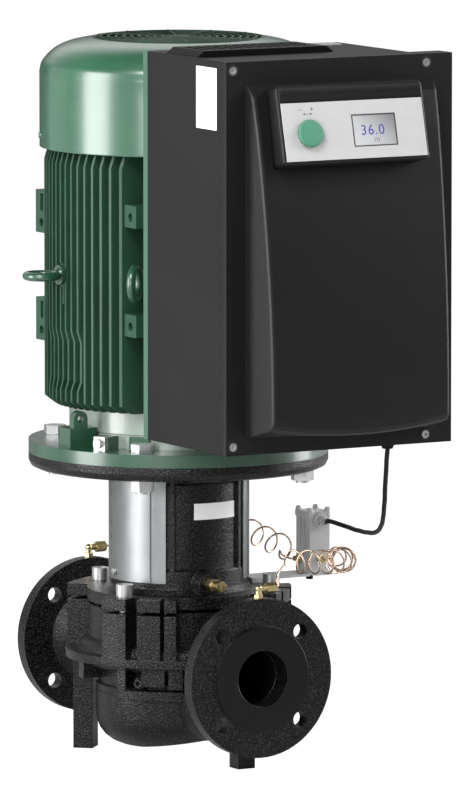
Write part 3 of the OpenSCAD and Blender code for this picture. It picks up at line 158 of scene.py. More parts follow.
def smoothRoute(points, step):
    # Cubic curve through the points: each stretch is the Hermite blend of its two ends with the
    # mean of the neighbouring chords as slopes, sampled at about one point per step.
    p = np.asarray(points, float)
    slope = np.gradient(p, axis=0)
    counts = np.maximum(2, np.ceil(np.linalg.norm(np.diff(p, axis=0), axis=1) / step).astype(int))
    parts = []
    for i, n in enumerate(counts):
        t = (np.arange(n) / n)[:, None]
        parts.append((2 * t**3 - 3 * t**2 + 1) * p[i] + (t**3 - 2 * t**2 + t) * slope[i]
                     + (3 * t**2 - 2 * t**3) * p[i + 1] + (t**3 - t**2) * slope[i + 1])
    return np.vstack(parts + [p[-1:]])


def tube(name, route, radius, sides):
    # A round profile carried along the route. Each ring stands square to the route, and its side
    # direction is the last ring's one, made square again. The ends are closed with a flat disc.
    tangents = np.gradient(route, axis=0)
    tangents /= np.linalg.norm(tangents, axis=1)[:, None]
    side = np.cross(tangents[0], [0.13, 0.31, 0.94])
    sidesAlong = np.empty_like(route)
    for i, t in enumerate(tangents):
        side = side - t * (side @ t)
        side /= np.linalg.norm(side)
        sidesAlong[i] = side
    ups = np.cross(tangents, sidesAlong)
    angle = np.arange(sides) * 2 * np.pi / sides
    ring = np.cos(angle)[None, :, None] * sidesAlong[:, None] + np.sin(angle)[None, :, None] * ups[:, None]
    points = (route[:, None] + radius * ring).reshape(-1, 3)
    rows = len(route)
    faces = [tuple(f) for f in gridFaces(rows, sides, closed=True)]
    faces.append(tuple(range(sides))[::-1])
    faces.append(tuple(range((rows - 1) * sides, rows * sides)))
    piece = meshPiece(name, points, faces)
    recalculate(piece)
    return piece


def recalculate(piece):
    # Points every face outwards.
    work = bmesh.new()
    work.from_mesh(piece.data)
    bmesh.ops.recalc_face_normals(work, faces=work.faces)
    work.to_mesh(piece.data)
    work.free()


print("stage: signal cable")
signalCable = {
    "points": [
        (176.5, -42, 154), (177, -52, 154), (178, -64, 153), (179, -76, 152), (180, -88, 151),
        (180, -100, 150), (180, -112, 150), (179, -124, 150), (177, -136, 151), (175, -148, 152),
        (172, -160, 154), (168, -172, 157), (164, -184, 161), (159, -196, 166), (154, -208, 172),
        (148, -220, 179), (142, -232, 187), (136, -243, 196), (131, -253, 205), (126, -262, 215),
        (121, -271, 225), (117, -279, 235), (113, -287, 246), (110, -293, 258), (108, -298, 268),
        (107, -300, 272),
    ],
    "diameter": 5.5,
    "step": 3.0,
}
cableRoute = smoothRoute(onShaft(signalCable["points"]), signalCable["step"] * 0.001)
cable = tube("cable_sheath", cableRoute, signalCable["diameter"] * 0.0005, 20)
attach(cable, "root")
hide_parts("signal_cable")


def linear(text):
    # sRGB hex to the linear colour that a shader wants.
    c = np.array([int(text[i:i + 2], 16) for i in (1, 3, 5)]) / 255
    c = np.where(c <= 0.04045, c / 12.92, ((c + 0.055) / 1.055) ** 2.4)
    return (*c.tolist(), 1.0)


def addNode(tree, kind, links=None, values=None, **settings):
    # Adds one shader node: settings are its attributes, values its socket values by name or number,
    # and links the sockets it reads, each from (node, output).
    node = tree.nodes.new("ShaderNode" + kind)
    for key, value in settings.items():
        setattr(node, key, value)
    for key, value in (values or {}).items():
        node.inputs[key].default_value = value
    for key, (source, output) in (links or {}).items():
        tree.links.new(source.outputs[output], node.inputs[key])
    return node


def newMaterial(name):
    # An empty node material with its output, and the Object coordinates that patterns read.
    material = bpy.data.materials.new(name)
    material.use_nodes = True
    tree = material.node_tree
    tree.nodes.clear()
    output = addNode(tree, "OutputMaterial")
    place = addNode(tree, "TexCoord")
    return material, tree, output, place


def finishWith(tree, output, shader):
    tree.links.new(shader.outputs[0], output.inputs["Surface"])


def colourRamp(tree, source, stops):
    # A colour ramp over a factor, from (position, hex) stops.
    ramp = addNode(tree, "ValToRGB", links={"Fac": source})
    elements = ramp.color_ramp.elements
    while len(elements) < len(stops):
        elements.new(0.5)
    for element, (position, colour) in zip(elements, stops):
        element.position = position
        element.color = linear(colour)
    return ramp


def dippedIron():
    # Grey iron sand casting, dip-coated black: orange-peel grains about 2 mm apart, and smooth turned
    # sealing faces at both ends of the pipe axis. Painted highlights: light specks in the colour stand for
    # the glints where the grains catch the light.
    grains = {"pitch": 1.9, "height": 0.8, "edge": 1.8, "rough": 0.27,
              "middle": 0.215, "turnedFrom": 0.2142, "castFrom": 0.2138, "turnedShare": 0.06}
    material, tree, output, place = newMaterial("dippedIron")
    coarse = addNode(tree, "TexNoise", links={"Vector": (place, "Object")},
                     values={"Scale": 1000 / grains["pitch"], "Detail": 1.2, "Roughness": 0.5})
    tops = addNode(tree, "TexNoise", links={"Vector": (place, "Object")},
                   values={"Scale": 1500 / grains["pitch"], "Detail": 0.8, "Roughness": 0.5})
    split = addNode(tree, "SeparateXYZ", links={"Vector": (place, "Object")})
    fromMiddle = addNode(tree, "Math", links={0: (split, "Y")}, values={1: grains["middle"]},
                         operation="SUBTRACT")
    outwards = addNode(tree, "Math", links={0: (fromMiddle, 0)}, operation="ABSOLUTE")
    cast = addNode(tree, "MapRange", links={"Value": (outwards, 0)},
                   values={"From Min": grains["turnedFrom"], "From Max": grains["castFrom"],
                           "To Min": grains["turnedShare"], "To Max": 1.0})
    rounded = addNode(tree, "Bevel", values={"Radius": grains["edge"] * 0.001}, samples=6)
    bump = addNode(tree, "Bump",
                   links={"Height": (coarse, "Fac"), "Strength": (cast, 0), "Normal": (rounded, 0)},
                   values={"Distance": grains["height"] * 0.001})
    # Painted highlights: light specks on the grain tops stand for glints; the turned faces get almost none.
    glintSpecks = addNode(tree, "Math", links={0: (tops, "Fac"), 1: (cast, 0)}, operation="MULTIPLY")
    tint = colourRamp(tree, (glintSpecks, 0),
                      [(0.40, "#040404"), (0.50, "#080808"), (0.60, "#1c1c1c"), (0.72, "#353535")])
    shader = addNode(tree, "BsdfPrincipled", links={"Base Color": (tint, 0), "Normal": (bump, 0)},
                     values={"Roughness": grains["rough"], "IOR": 1.5, "Specular IOR Level": 0.28})
    finishWith(tree, output, shader)
    return material


def enamel(name, colour, shade, rough=0.34, grain=0.0, depth=None, coat=0.7):
    # Green solvent enamel sprayed on metal: satin gloss with a faint spray texture. depth paints
    # shade into it towards the motor's wall, darkening the recesses between the fins.
    material, tree, output, place = newMaterial(name)
    mottle = addNode(tree, "TexNoise", links={"Vector": (place, "Object")},
                     values={"Scale": 26.0, "Detail": 4.0, "Roughness": 0.5})
    spray = addNode(tree, "TexNoise", links={"Vector": (place, "Object")},
                    values={"Scale": 620.0, "Detail": 2.0, "Roughness": 0.5})
    tint = colourRamp(tree, (mottle, "Fac"), [(0.35, shade), (0.65, colour)])
    last = (tint, 0)
    # Painted shade: darker towards the motor's wall, in the recesses between the fins.
    if depth:
        centre = addNode(tree, "Mapping", links={"Vector": (place, "Object")},
                         values={"Location": (0, -shaftY, 0), "Scale": (1, 1, 0)})
        radius = addNode(tree, "VectorMath", links={0: (centre, 0)}, operation="LENGTH")
        out = addNode(tree, "MapRange", links={"Value": (radius, "Value")},
                      values={"From Min": depth[0], "From Max": depth[1], "To Min": 0.0, "To Max": 1.0})
        mixed = addNode(tree, "Mix", links={0: (out, 0), 7: last}, data_type="RGBA")
        mixed.inputs[6].default_value = linear(depth[2])
        last = (mixed, 2)
    rounded = addNode(tree, "Bevel", values={"Radius": 0.0012}, samples=4)
    bump = addNode(tree, "Bump", links={"Height": (spray, "Fac"), "Normal": (rounded, 0)},
                   values={"Distance": 0.00008 + grain * 0.001, "Strength": 0.5})
    shader = addNode(tree, "BsdfPrincipled", links={"Base Color": last, "Normal": (bump, 0)},
                     values={"Roughness": rough, "IOR": 1.5, "Coat Weight": coat, "Coat Roughness": 0.2})
    finishWith(tree, output, shader)
    return material


def mouldedPlastic(name, colour, shade, rough=0.5, grain=0.10, shine=0.5):
    # Polycarbonate blend, injection moulded in a spark-eroded tool: a fine even grain that softens
    # its highlights. The grain is drawn coarser than real, so that it shows.
    pitch = 1.2                      # mm between grains
    material, tree, output, place = newMaterial(name)
    fine = addNode(tree, "TexNoise", links={"Vector": (place, "Object")},
                   values={"Scale": 1000 / pitch, "Detail": 2.0, "Roughness": 0.55})
    broad = addNode(tree, "TexNoise", links={"Vector": (place, "Object")},
                    values={"Scale": 9.0, "Detail": 3.0, "Roughness": 0.5})
    tint = colourRamp(tree, (broad, "Fac"), [(0.3, shade), (0.7, colour)])
    rounded = addNode(tree, "Bevel", values={"Radius": 0.0012}, samples=4)
    bump = addNode(tree, "Bump", links={"Height": (fine, "Fac"), "Normal": (rounded, 0)},
                   values={"Distance": grain * 0.001, "Strength": 0.35})
    shader = addNode(tree, "BsdfPrincipled", links={"Base Color": (tint, 0), "Normal": (bump, 0)},
                     values={"Roughness": rough, "IOR": 1.5, "Specular IOR Level": shine})
    finishWith(tree, output, shader)
    return material


def bareMetal(name, colour, shade, rough, streak=0.0, direction=(1, 1, 1), metallic=1.0):
    # Metal as it leaves the machine: turned, drawn or rolled. Fine lines along one direction vary
    # its roughness, and its colour wanders a little.
    edge = 0.5                       # mm that edges look rounded by
    material, tree, output, place = newMaterial(name)
    stretched = addNode(tree, "Mapping", links={"Vector": (place, "Object")}, values={"Scale": direction})
    lines = addNode(tree, "TexNoise", links={"Vector": (stretched, 0)},
                    values={"Scale": 700.0, "Detail": 3.0, "Roughness": 0.6})
    broad = addNode(tree, "TexNoise", links={"Vector": (place, "Object")},
                    values={"Scale": 40.0, "Detail": 2.0, "Roughness": 0.5})
    tint = colourRamp(tree, (broad, "Fac"), [(0.3, shade), (0.7, colour)])
    roughness = addNode(tree, "MapRange", links={"Value": (lines, "Fac")},
                        values={"From Min": 0.3, "From Max": 0.7,
                                "To Min": rough - 0.06, "To Max": rough + 0.08})
    rounded = addNode(tree, "Bevel", values={"Radius": edge * 0.001}, samples=4)
    bump = addNode(tree, "Bump", links={"Height": (lines, "Fac"), "Normal": (rounded, 0)},
                   values={"Distance": 0.00004, "Strength": 0.2 + streak})
    shader = addNode(tree, "BsdfPrincipled",
                     links={"Base Color": (tint, 0), "Roughness": (roughness, 0), "Normal": (bump, 0)},
                     values={"Metallic": metallic})
    finishWith(tree, output, shader)
    return material


def plainFilm(name, colour, shade, rough):
    # Printed polyester film: flat, satin, with the slight waviness of a film laid on by hand.
    material, tree, output, place = newMaterial(name)
    wave = addNode(tree, "TexNoise", links={"Vector": (place, "Object")},
                   values={"Scale": 60.0, "Detail": 2.0, "Roughness": 0.4})
    tint = colourRamp(tree, (wave, "Fac"), [(0.3, shade), (0.7, colour)])
    bump = addNode(tree, "Bump", links={"Height": (wave, "Fac")},
                   values={"Distance": 0.0002, "Strength": 0.15})
    shader = addNode(tree, "BsdfPrincipled", links={"Base Color": (tint, 0), "Normal": (bump, 0)},
                     values={"Roughness": rough, "IOR": 1.5})
    finishWith(tree, output, shader)
    return material


print("stage: materials")
iron = dippedIron()
# greenCasting's depth is painted shade between the motor's fins.
greenCasting = enamel("greenCasting", "#1f4531", "#1b3f2d", rough=0.5, grain=0.05,
                      depth=(0.128, 0.158, "#0c2216"), coat=0.0)
greenShield = enamel("greenShield", "#1f4a35", "#1c4330", rough=0.36, grain=0.03, coat=1.0)
greenSheet = enamel("greenSheet", "#2d5b43", "#2a553f", rough=0.36, coat=1.0)
# The motor's neck: pale grey-green enamel; its light colour is painted reflection, standing for the white
# sheen on the neck
neckSheenEnamel = enamel("neckSheenEnamel", "#8a968d", "#7f8b82", rough=0.34, coat=0.8)
greenGrille = enamel("greenGrille", "#1f3d2b", "#1b3626", rough=0.6, coat=0.0)
housingPlastic = mouldedPlastic("housingPlastic", "#1f1f1f", "#1c1c1c", rough=0.5, shine=0.12)
coverPlastic = mouldedPlastic("coverPlastic", "#141414", "#121212", rough=0.45, shine=0.3)
# Dark plastic for the painted shadow round the display glass.
shadowRimPlastic = mouldedPlastic("shadowRimPlastic", "#3a3a3c", "#363638", rough=0.5, grain=0.0)
lipPlastic = mouldedPlastic("lipPlastic", "#a9a9a9", "#a2a2a2", rough=0.6, grain=0.0)
ventPlastic = mouldedPlastic("ventPlastic", "#0c0c0c", "#0a0a0a", rough=0.45, shine=0.12)
knobPlastic = mouldedPlastic("knobPlastic", "#4b8a70", "#47846a", rough=0.5, grain=0.03)
fanPlastic = mouldedPlastic("fanPlastic", "#1c2420", "#18201c", rough=0.5)
sheathPvc = mouldedPlastic("sheathPvc", "#0b0b0b", "#090909", rough=0.42, grain=0.02, shine=0.3)
gasketRubber = mouldedPlastic("gasketRubber", "#141414", "#101010", rough=0.8)
boardLaminate = mouldedPlastic("boardLaminate", "#14502e", "#104427", rough=0.4, grain=0.01)
sealCarbon = mouldedPlastic("sealCarbon", "#3c3c3e", "#333335", rough=0.25, grain=0.0)
zincSteel = bareMetal("zincSteel", "#c6c7c8", "#b6b7b8", 0.34, metallic=0.8)
turnedSteel = bareMetal("turnedSteel", "#bcbdbf", "#a9abad", 0.25, streak=0.2, direction=(0.05, 0.05, 1))
rolledStainless = bareMetal("rolledStainless", "#939596", "#8b8e8f", 0.38, direction=(1, 1, 0.03))
turnedBrass = bareMetal("turnedBrass", "#d8caa0", "#c6b583", 0.28)
castBronze = bareMetal("castBronze", "#a98a52", "#8f7240", 0.45)
drawnCopper = bareMetal("drawnCopper", "#d3b9a5", "#c0a08a", 0.24, metallic=0.9)
electricSheet = bareMetal("electricSheet", "#86888b", "#707276", 0.4, streak=0.3, direction=(0.02, 0.02, 1))
copperWinding = bareMetal("copperWinding", "#a5562c", "#87421f", 0.35)
anodised = bareMetal("anodised", "#c4c5c6", "#babbbc", 0.42, direction=(1, 1, 0.03), metallic=0.35)
panelFilm = plainFilm("panelFilm", "#c0c0c0", "#bcbcbc", 0.40)
labelFilm = plainFilm("labelFilm", "#f4f4f4", "#f0f0f0", 0.32)
printGrey = plainFilm("printGrey", "#222222", "#1e1e1e", 0.5)
digitInk = plainFilm("digitInk", "#43399a", "#3e358f", 0.5)
unitInk = plainFilm("unitInk", "#77777a", "#727275", 0.5)
gasketFibre = mouldedPlastic("gasketFibre", "#33463a", "#2b3c31", rough=0.85)


def displayGlass():
    # Reflective display behind glass: a silver film with painted shade that darkens it towards its upper
    # right corner, where the sum of x and z is greatest.
    lightSum, darkSum = 0.625, 0.710
    material, tree, output, place = newMaterial("displayGlass")
    split = addNode(tree, "SeparateXYZ", links={"Vector": (place, "Object")})
    both = addNode(tree, "Math", links={0: (split, "X"), 1: (split, "Z")}, operation="ADD")
    along = addNode(tree, "MapRange", links={"Value": (both, 0)},
                    values={"From Min": lightSum, "From Max": darkSum, "To Min": 0.0, "To Max": 1.0})
    # Painted shade: the film's colour darkens towards its upper right corner.
    tint = colourRamp(tree, (along, 0), [(0.0, "#c9cacc"), (0.40, "#bbbcbe"), (1.0, "#7b7c7e")])
    shader = addNode(tree, "BsdfPrincipled", links={"Base Color": (tint, 0)},
                     values={"Roughness": 0.28, "IOR": 1.5, "Coat Weight": 0.6, "Coat Roughness": 0.05})
    finishWith(tree, output, shader)
    return material


lcdGlass = displayGlass()
finishes = {
    "volute_casing": iron, "lantern": iron, "drain_plug": iron,
    "wear_ring": castBronze, "impeller": castBronze, "impeller_nut": zincSteel,
    "casing_gasket": gasketFibre, "seal_seat": panelFilm, "seal_head": sealCarbon, "seal_spring": zincSteel,
    "stub_shaft": turnedSteel, "left_guard": rolledStainless, "right_guard": rolledStainless,
    "guard_screws": zincSteel, "casing_screws": zincSteel,
    "vent_body": turnedBrass, "vent_screw": turnedBrass,
    "motor_shaft": turnedSteel, "rotor_core": electricSheet, "stator_core": electricSheet,
    "windings": copperWinding, "bearing_outer_rings": turnedSteel, "bearing_inner_rings": turnedSteel,
    "bearing_balls": turnedSteel, "drive_end_shield": greenShield, "motor_frame": greenCasting,
    "rear_end_shield": greenShield, "cooling_fan": fanPlastic, "fan_cover": greenSheet,
    "fan_cover_screws": greenSheet, "side_eyebolt": greenShield, "corner_eyebolt": greenShield,
    "flange_bolts": zincSteel, "flange_nuts": zincSteel, "earth_clamp": zincSteel,
    "adapter_plate": greenSheet,
    "module_housing": housingPlastic, "module_cover": coverPlastic, "cover_gasket": gasketRubber,
    "cover_screws": zincSteel, "top_vent": ventPlastic, "power_board": boardLaminate,
    "display_bezel": coverPlastic, "display_panel": panelFilm, "lcd_window": lcdGlass,
    "encoder_body": fanPlastic, "encoder_plunger": anodised, "knob_shaft": turnedSteel, "knob": knobPlastic,
    "module_gland": ventPlastic, "signal_cable": sheathPvc, "sensor_body": anodised, "sensor_cap": anodised,
    "sensor_cap_screws": zincSteel, "sensor_gland": anodised, "sensor_ports": turnedBrass,
    "sensor_bracket": anodised, "pressure_elbows": turnedBrass, "suction_capillary": drawnCopper,
    "discharge_capillary": drawnCopper,
}
for nodeName, nodeObject in nodes.items():
    nodeObject.data.materials.clear()
    nodeObject.data.materials.append(finishes[nodeName])
cable.data.materials.append(sheathPvc)

print("stage: copper capillaries")
capillary = {
    "diameter": 2.2, "coil": 13.5, "turns": 9.25, "openTurns": 3, "stepsPerTurn": 40,
    "coilStart": (44, -174, 130), "coilEnd": (176.5, -52, 111),
    "openStart": (133, 72, 134), "openEnd": (144, -8, 118),
    "flangeRadius": 92.55, "elbowRise": 11, "elbowX": 23, "nearElbow": -190, "farElbow": 220,
    "portLevel": 107, "step": 1.5, "sides": 12,
    # Steps from an elbow's mouth and from a coil's last point
    "suctionLead": ((-6, 0, 0), (0, 0, 0), (3, 1, 2), (3.5, 4, 8), (6, 8, 13)),
    "suctionTail": ((0, 8, -3), (0, 14, -4)), "frontPortY": -30,
    "dischargeLead": ((-6, 0, 0), (0, 0, 0), (6, -1, 1), (20, -8, 6), (44, -28, 14),
                      (72, -60, 22), (92, -96, 28), (102, -122, 32)),
    "dischargeTail": (2, -3, -5), "sidePort": ((148, -6), (157, -6)),
}


def coilRound(middle, way, angle, radius):
    # Points on a circle that travels along the middle line, square to its direction.
    way = way / np.linalg.norm(way, axis=1)[:, None]
    side = np.cross(way, [0, 0, 1.0])
    side /= np.linalg.norm(side, axis=1)[:, None]
    up = np.cross(side, way)
    return middle + radius[:, None] * (np.cos(angle)[:, None] * up + np.sin(angle)[:, None] * side)


def wholeRoute(lead, coil, tail, step):
    # The coil with a smooth run of tube before it and after it.
    return np.vstack([smoothRoute(np.vstack([lead, coil[:1]]), step)[:-1], coil,
                      smoothRoute(np.vstack([coil[-1:], tail]), step)[1:]])


def suctionRoute(c):
    # Lead from the near elbow, a coil whose middle follows a quarter of an ellipse, and a tail to
    # the sensor's front port.
    start, end = np.array(c["coilStart"], float), np.array(c["coilEnd"], float)
    steps = round(c["turns"] * c["stepsPerTurn"])
    i = np.arange(steps + 1)
    t = i / steps

    def middle(s):
        a = s[:, None] * np.pi / 2
        return np.hstack([start[0] + (end[0] - start[0]) * np.sin(a),
                          start[1] + (end[1] - start[1]) * (1 - np.cos(a)),
                          start[2] + (end[2] - start[2]) * s[:, None]])

    perCad = c["stepsPerTurn"] / 12
    grow = np.minimum(1, np.minimum(i / perCad / 6 + 0.2, (steps - i) / perCad / 6 + 0.1))
    coil = coilRound(middle(t), middle(t + 0.01) - middle(t - 0.01),
                     np.pi + 2 * np.pi * c["turns"] * t, c["coil"] * grow)
    first = np.array([c["elbowX"], c["nearElbow"], c["flangeRadius"] + c["elbowRise"]], float)
    lead = first + np.array(c["suctionLead"])
    tail = np.array([end + way for way in c["suctionTail"]] + [(end[0], c["frontPortY"], c["portLevel"])])
    return wholeRoute(lead, coil, tail, c["step"])


def dischargeRoute(c):
    # Lead from the far elbow round the lantern, three open turns, and a tail to the side port.
    start, end = np.array(c["openStart"], float), np.array(c["openEnd"], float)
    steps = c["openTurns"] * c["stepsPerTurn"]
    t = np.arange(steps + 1) / steps
    middle = start + (end - start) * t[:, None]
    way = np.repeat((end - start)[None], steps + 1, 0)
    coil = coilRound(middle, way, np.pi / 2 - 2 * np.pi * c["openTurns"] * t, np.full(steps + 1, c["coil"]))
    first = np.array([c["elbowX"], c["farElbow"], c["flangeRadius"] + c["elbowRise"]], float)
    lead = first + np.array(c["dischargeLead"])
    tail = np.array([coil[-1] + c["dischargeTail"]] + [(x, y, c["portLevel"]) for x, y in c["sidePort"]])
    return wholeRoute(lead, coil, tail, c["step"])


for pieceName, route, nodeName in (("suction_coil", suctionRoute, "suction_capillary"),
                                   ("discharge_coil", dischargeRoute, "discharge_capillary")):
    coilPiece = tube(pieceName, onShaft(route(capillary)), capillary["diameter"] * 0.0005, capillary["sides"])
    fitPiece(coilPiece, "root", drawnCopper, "copper", nodeName)

print("stage: casing")
bowlSlant = {
    "across": (0.8713, -0.4907), "low": -42, "high": 30, "lift": 8.4,
    "startLevel": -40, "endLevel": -99, "fullRadius": 92, "endRadius": 100, "sharp": 28,
}


def slantBowl(c):
    # The casing's own mesh with the underside of its bowl slanted, as in the photograph: the lift
    # grows across the view, down the bowl's wall, and fades out beyond the bowl's radius.
    work = bmesh.new()
    work.from_mesh(nodes["volute_casing"].data)
    bmesh.ops.remove_doubles(work, verts=work.verts, dist=0.00001)
    work.verts.index_update()
    points = np.array([v.co for v in work.verts])
    faces = [[v.index for v in f.verts] for f in work.faces]
    work.free()
    x, y, z = ((points - np.array([0, shaftY, 0])) * 1000).T
    across = np.clip((x * c["across"][0] + y * c["across"][1] - c["low"]) / (c["high"] - c["low"]), 0, 1)
    down = np.clip((z - c["startLevel"]) / (c["endLevel"] - c["startLevel"]), 0, 1)
    within = np.clip((c["endRadius"] - np.hypot(x, y)) / (c["endRadius"] - c["fullRadius"]), 0, 1)
    points[:, 2] += c["lift"] * across * down * within * 0.001
    piece = meshPiece("casing_skin", points, faces)
    recalculate(piece)
    piece.data.set_sharp_from_angle(angle=math.radians(c["sharp"]))
    fitPiece(piece, "root", iron, "black_casting", "volute_casing")


slantBowl(bowlSlant)

print("stage: fan cover")
fanCover = {
    "radius": 161.3, "low": 601, "top": 728.5, "wall": 2.0, "grilleRadius": 99.3,
    "ringPitch": 9.0, "ringWidth": 2.6, "ringThick": 0.5, "firstRing": 91.0, "lastRing": 16, "hub": 14.5,
    "spokes": 12, "spokeTurn": 8, "spokeThick": 0.9, "spokeDepth": 0.9, "steps": 144,
    "ringSteps": 96, "ringFall": 0.2, "hubSteps": 48, "hubRound": 0.6, "hubDepth": 3.4, "hubBore": 1,
    "blockAngles": (70, 160, 250, 340), "blockInner": 125.2, "blockHalf": 8, "blockLevels": (10, 18),
    # How far the shoulder lies in from the radius and down from the top
    "shoulder": ((0, 43), (0, 40), (2, 31), (6.3, 24.5), (12.3, 18), (21.3, 11.5), (33.3, 6.5), (48, 3.2)),
}


def coverShell(c):
    # Outer curve of the cover from its mouth over the shoulder to the grille's edge, and the same
    # curve one wall further in, as one closed profile.
    r, top = c["radius"], c["top"]
    curve = [(r - inwards, top - down) for inwards, down in c["shoulder"]]
    outer = smoothRoute(curve + [(c["grilleRadius"], top - 1)], 1.5)
    wallRows = [(r - 0.4, c["low"]), (r, c["low"] + 0.4), (r, c["low"] + 1.5), (r, top - 70), (r, top - 62)]
    outer = np.vstack([wallRows, outer])
    along = np.gradient(outer, axis=0)
    along /= np.linalg.norm(along, axis=1)[:, None]
    inner = outer + c["wall"] * np.stack([-along[:, 1], along[:, 0]], 1)
    inner = np.vstack([[(r - c["wall"], c["low"])], inner[2:]])
    return lathePart(np.vstack([outer, inner[::-1]]), c["steps"], True)


def flatRing(radius, width, level, thick, steps, fall):
    # A flat ring about the shaft, a little lower at its outer edge, as pressing leaves it.
    inner, outer = radius - width / 2, radius + width / 2
    return lathePart([(inner, level - thick), (outer, level - thick - fall),
                      (outer, level - fall), (inner, level)], steps, True)


def grilleParts(c):
    # Rings, a thicker border ring, the hub's disc with rounded edges, and the spokes.
    top, hub, edge = c["top"], c["hub"], c["hubRound"]
    bottom = top - c["hubDepth"]
    parts = [flatRing(r, c["ringWidth"], top, c["ringThick"], c["ringSteps"], c["ringFall"])
             for r in np.arange(c["firstRing"], c["lastRing"], -c["ringPitch"])]
    parts.append(flatRing(c["grilleRadius"] - 1, c["ringWidth"], top - 0.3, 2.2, c["steps"], c["ringFall"]))
    parts.append(lathePart([(c["hubBore"], bottom), (hub - edge, bottom), (hub, bottom + edge),
                            (hub, top - edge), (hub - edge, top), (c["hubBore"], top)], c["hubSteps"], False))
    length = c["grilleRadius"] - c["hub"] + 1.5
    for k in range(c["spokes"]):
        turn = math.radians(360 * k / c["spokes"] + c["spokeTurn"])
        rod, faces = boxPart((c["hub"] - 1, -c["spokeThick"], top - c["spokeDepth"]),
                             (c["hub"] - 1 + length, c["spokeThick"], top - 0.1))
        parts.append((turned(rod, turn), faces))
    return parts


def turned(points, angle):
    # Points turned about the shaft.
    x, y, z = points.T
    return np.stack([x * math.cos(angle) - y * math.sin(angle),
                     x * math.sin(angle) + y * math.cos(angle), z], 1)


def makeFanCover(c):
    shell = coverShell(c)
    blocks = []
    for angle in c["blockAngles"]:
        block, faces = boxPart((c["blockInner"], -c["blockHalf"], c["low"] + c["blockLevels"][0]),
                               (c["radius"] - 0.8, c["blockHalf"], c["low"] + c["blockLevels"][1]))
        blocks.append((turned(block, math.radians(angle)), faces))
    grille = grilleParts(c)
    piece = joinedPiece("fan_cover_skin", [shell] + blocks + grille, onShaft)
    sheetFaces = len(shell[1]) + sum(len(f) for _, f in blocks)
    marks = np.zeros(len(piece.data.polygons), np.int32)
    marks[sheetFaces:] = 1
    fitPiece(piece, "root", greenSheet, "green_sheet", "fan_cover")
    piece.data.materials.append(greenGrille)
    piece.data.polygons.foreach_set("material_index", marks)


makeFanCover(fanCover)

print("stage: display")
display = {
    "origin": (-7.5, -418.5, 658.6), "tilt": 13.9,
    "width": 189, "height": 87, "depth": 34, "corner": 5.0, "rise": 1.5, "topRound": 5.0, "sideRound": 2.6,
    "panelWidth": 182, "panelHeight": 66, "panelDrop": 7,
    "lcdX": 25.8, "lcdY": -8.3, "lcdWidth": 56, "lcdHeight": 36, "lcdRim": 0.9,
    "knobX": -59.5, "knobY": -9.6, "knobLift": 2.8, "knobRadius": 16, "knobHeight": 5,
    "serration": 0.9, "teeth": 26, "knobBase": ((3.2, 0), (15.2, 0), (16, 0.5)),
    # How far the knob's rounding lies in from its radius and down from its top
    "knobRounding": ((0.15, 1.5), (0.5, 0.6), (1.5, 0.1), (3.0, 0)),
    "rimGrow": 0.4, "rimLevels": (0.4, 1.15),
}


def onDisplay(points):
    # Moves points in millimetres from the display's plane, x right, y up it and z out of it, to
    # the row frame in metres.
    x, y, z = np.asarray(points, float).T
    t = math.radians(display["tilt"])
    ox, oy, oz = display["origin"]
    return onShaft(np.stack([ox + x, oy + y * math.sin(t) - z * math.cos(t),
                             oz + y * math.cos(t) + z * math.sin(t)], 1))


def roundedOutline(halfWidth, halfHeight, corner, perCorner=7):
    # Points of a rounded rectangle and their directions outwards.
    points, ways = [], []
    for quarter, (sx, sy) in enumerate(((1, 1), (-1, 1), (-1, -1), (1, -1))):
        for a in np.linspace(0, math.pi / 2, perCorner) + quarter * math.pi / 2:
            way = (math.cos(a), math.sin(a))
            points.append((sx * (halfWidth - corner) + corner * way[0],
                           sy * (halfHeight - corner) + corner * way[1]))
            ways.append(way)
    return np.array(points), np.array(ways)


def makeBezel(d):
    # Rounded-rectangle loops: up the outside, over an edge that is rounder along the top, across the
    # front to the panel's pocket, and down it to the back.
    outline, ways = roundedOutline(d["width"] / 2, d["height"] / 2 + d["rise"], d["corner"])
    outline = outline + np.array([0, d["rise"]])
    upper = np.clip(ways[:, 1:], 0, 1) ** 3
    reach = d["sideRound"] + (d["topRound"] - d["sideRound"]) * upper
    loops = [np.hstack([outline, np.full_like(reach, -d["depth"])])]
    for a in np.linspace(0, math.pi / 2, 8):
        loops.append(np.hstack([outline - ways * reach * (1 - math.cos(a)), -reach * (1 - math.sin(a))]))
    pocket, _ = roundedOutline(d["panelWidth"] / 2 + 0.3, d["panelHeight"] / 2 + 0.3, 0.6)
    pocket = pocket - np.array([0, d["panelDrop"]])
    for level in (0, -0.2, -d["depth"]):
        loops.append(np.hstack([pocket, np.full_like(reach, level)]))
    points = np.vstack(loops)
    faces = gridFaces(len(loops), len(outline), True, True)
    fitPiece(joinedPiece("bezel_skin", [(points, faces)], onDisplay), "root", coverPlastic, "black_plastic",
             "display_bezel")


def makeKnob(d):
    r, h = d["knobRadius"], d["knobHeight"]
    rounding = [(r - inwards, h - down) for inwards, down in d["knobRounding"]]
    profile = [*d["knobBase"], *rounding, (1, h)]
    points, faces = lathePart(profile, d["teeth"] * 8, False, d["serration"], d["teeth"])
    points = points + np.array([d["knobX"], d["knobY"], d["knobLift"]])
    skin = joinedPiece("knob_skin", [(points, faces)], onDisplay)
    fitPiece(skin, "dial", knobPlastic, "knob_green", "knob")


def makeDisplayShadowRim(d):
    # Painted shade: a thin dark rim round the display glass, standing for the shadow of its recess.
    loops = []
    low, high = d["rimLevels"]
    corners = ((1, 1), (-1, 1), (-1, -1), (1, -1))
    for grow, level in ((d["rimGrow"], low), (d["rimGrow"], high), (-d["lcdRim"], high), (-d["lcdRim"], low)):
        w, h = d["lcdWidth"] / 2 + grow, d["lcdHeight"] / 2 + grow
        loops += [(d["lcdX"] + sx * w, d["lcdY"] + sy * h, level) for sx, sy in corners]
    faces = gridFaces(len(corners), len(corners), True, True)
    rim = joinedPiece("display_shadow_rim", [(np.array(loops), faces)], onDisplay, smooth=False)
    fitPiece(rim, "root", shadowRimPlastic, "black_plastic")


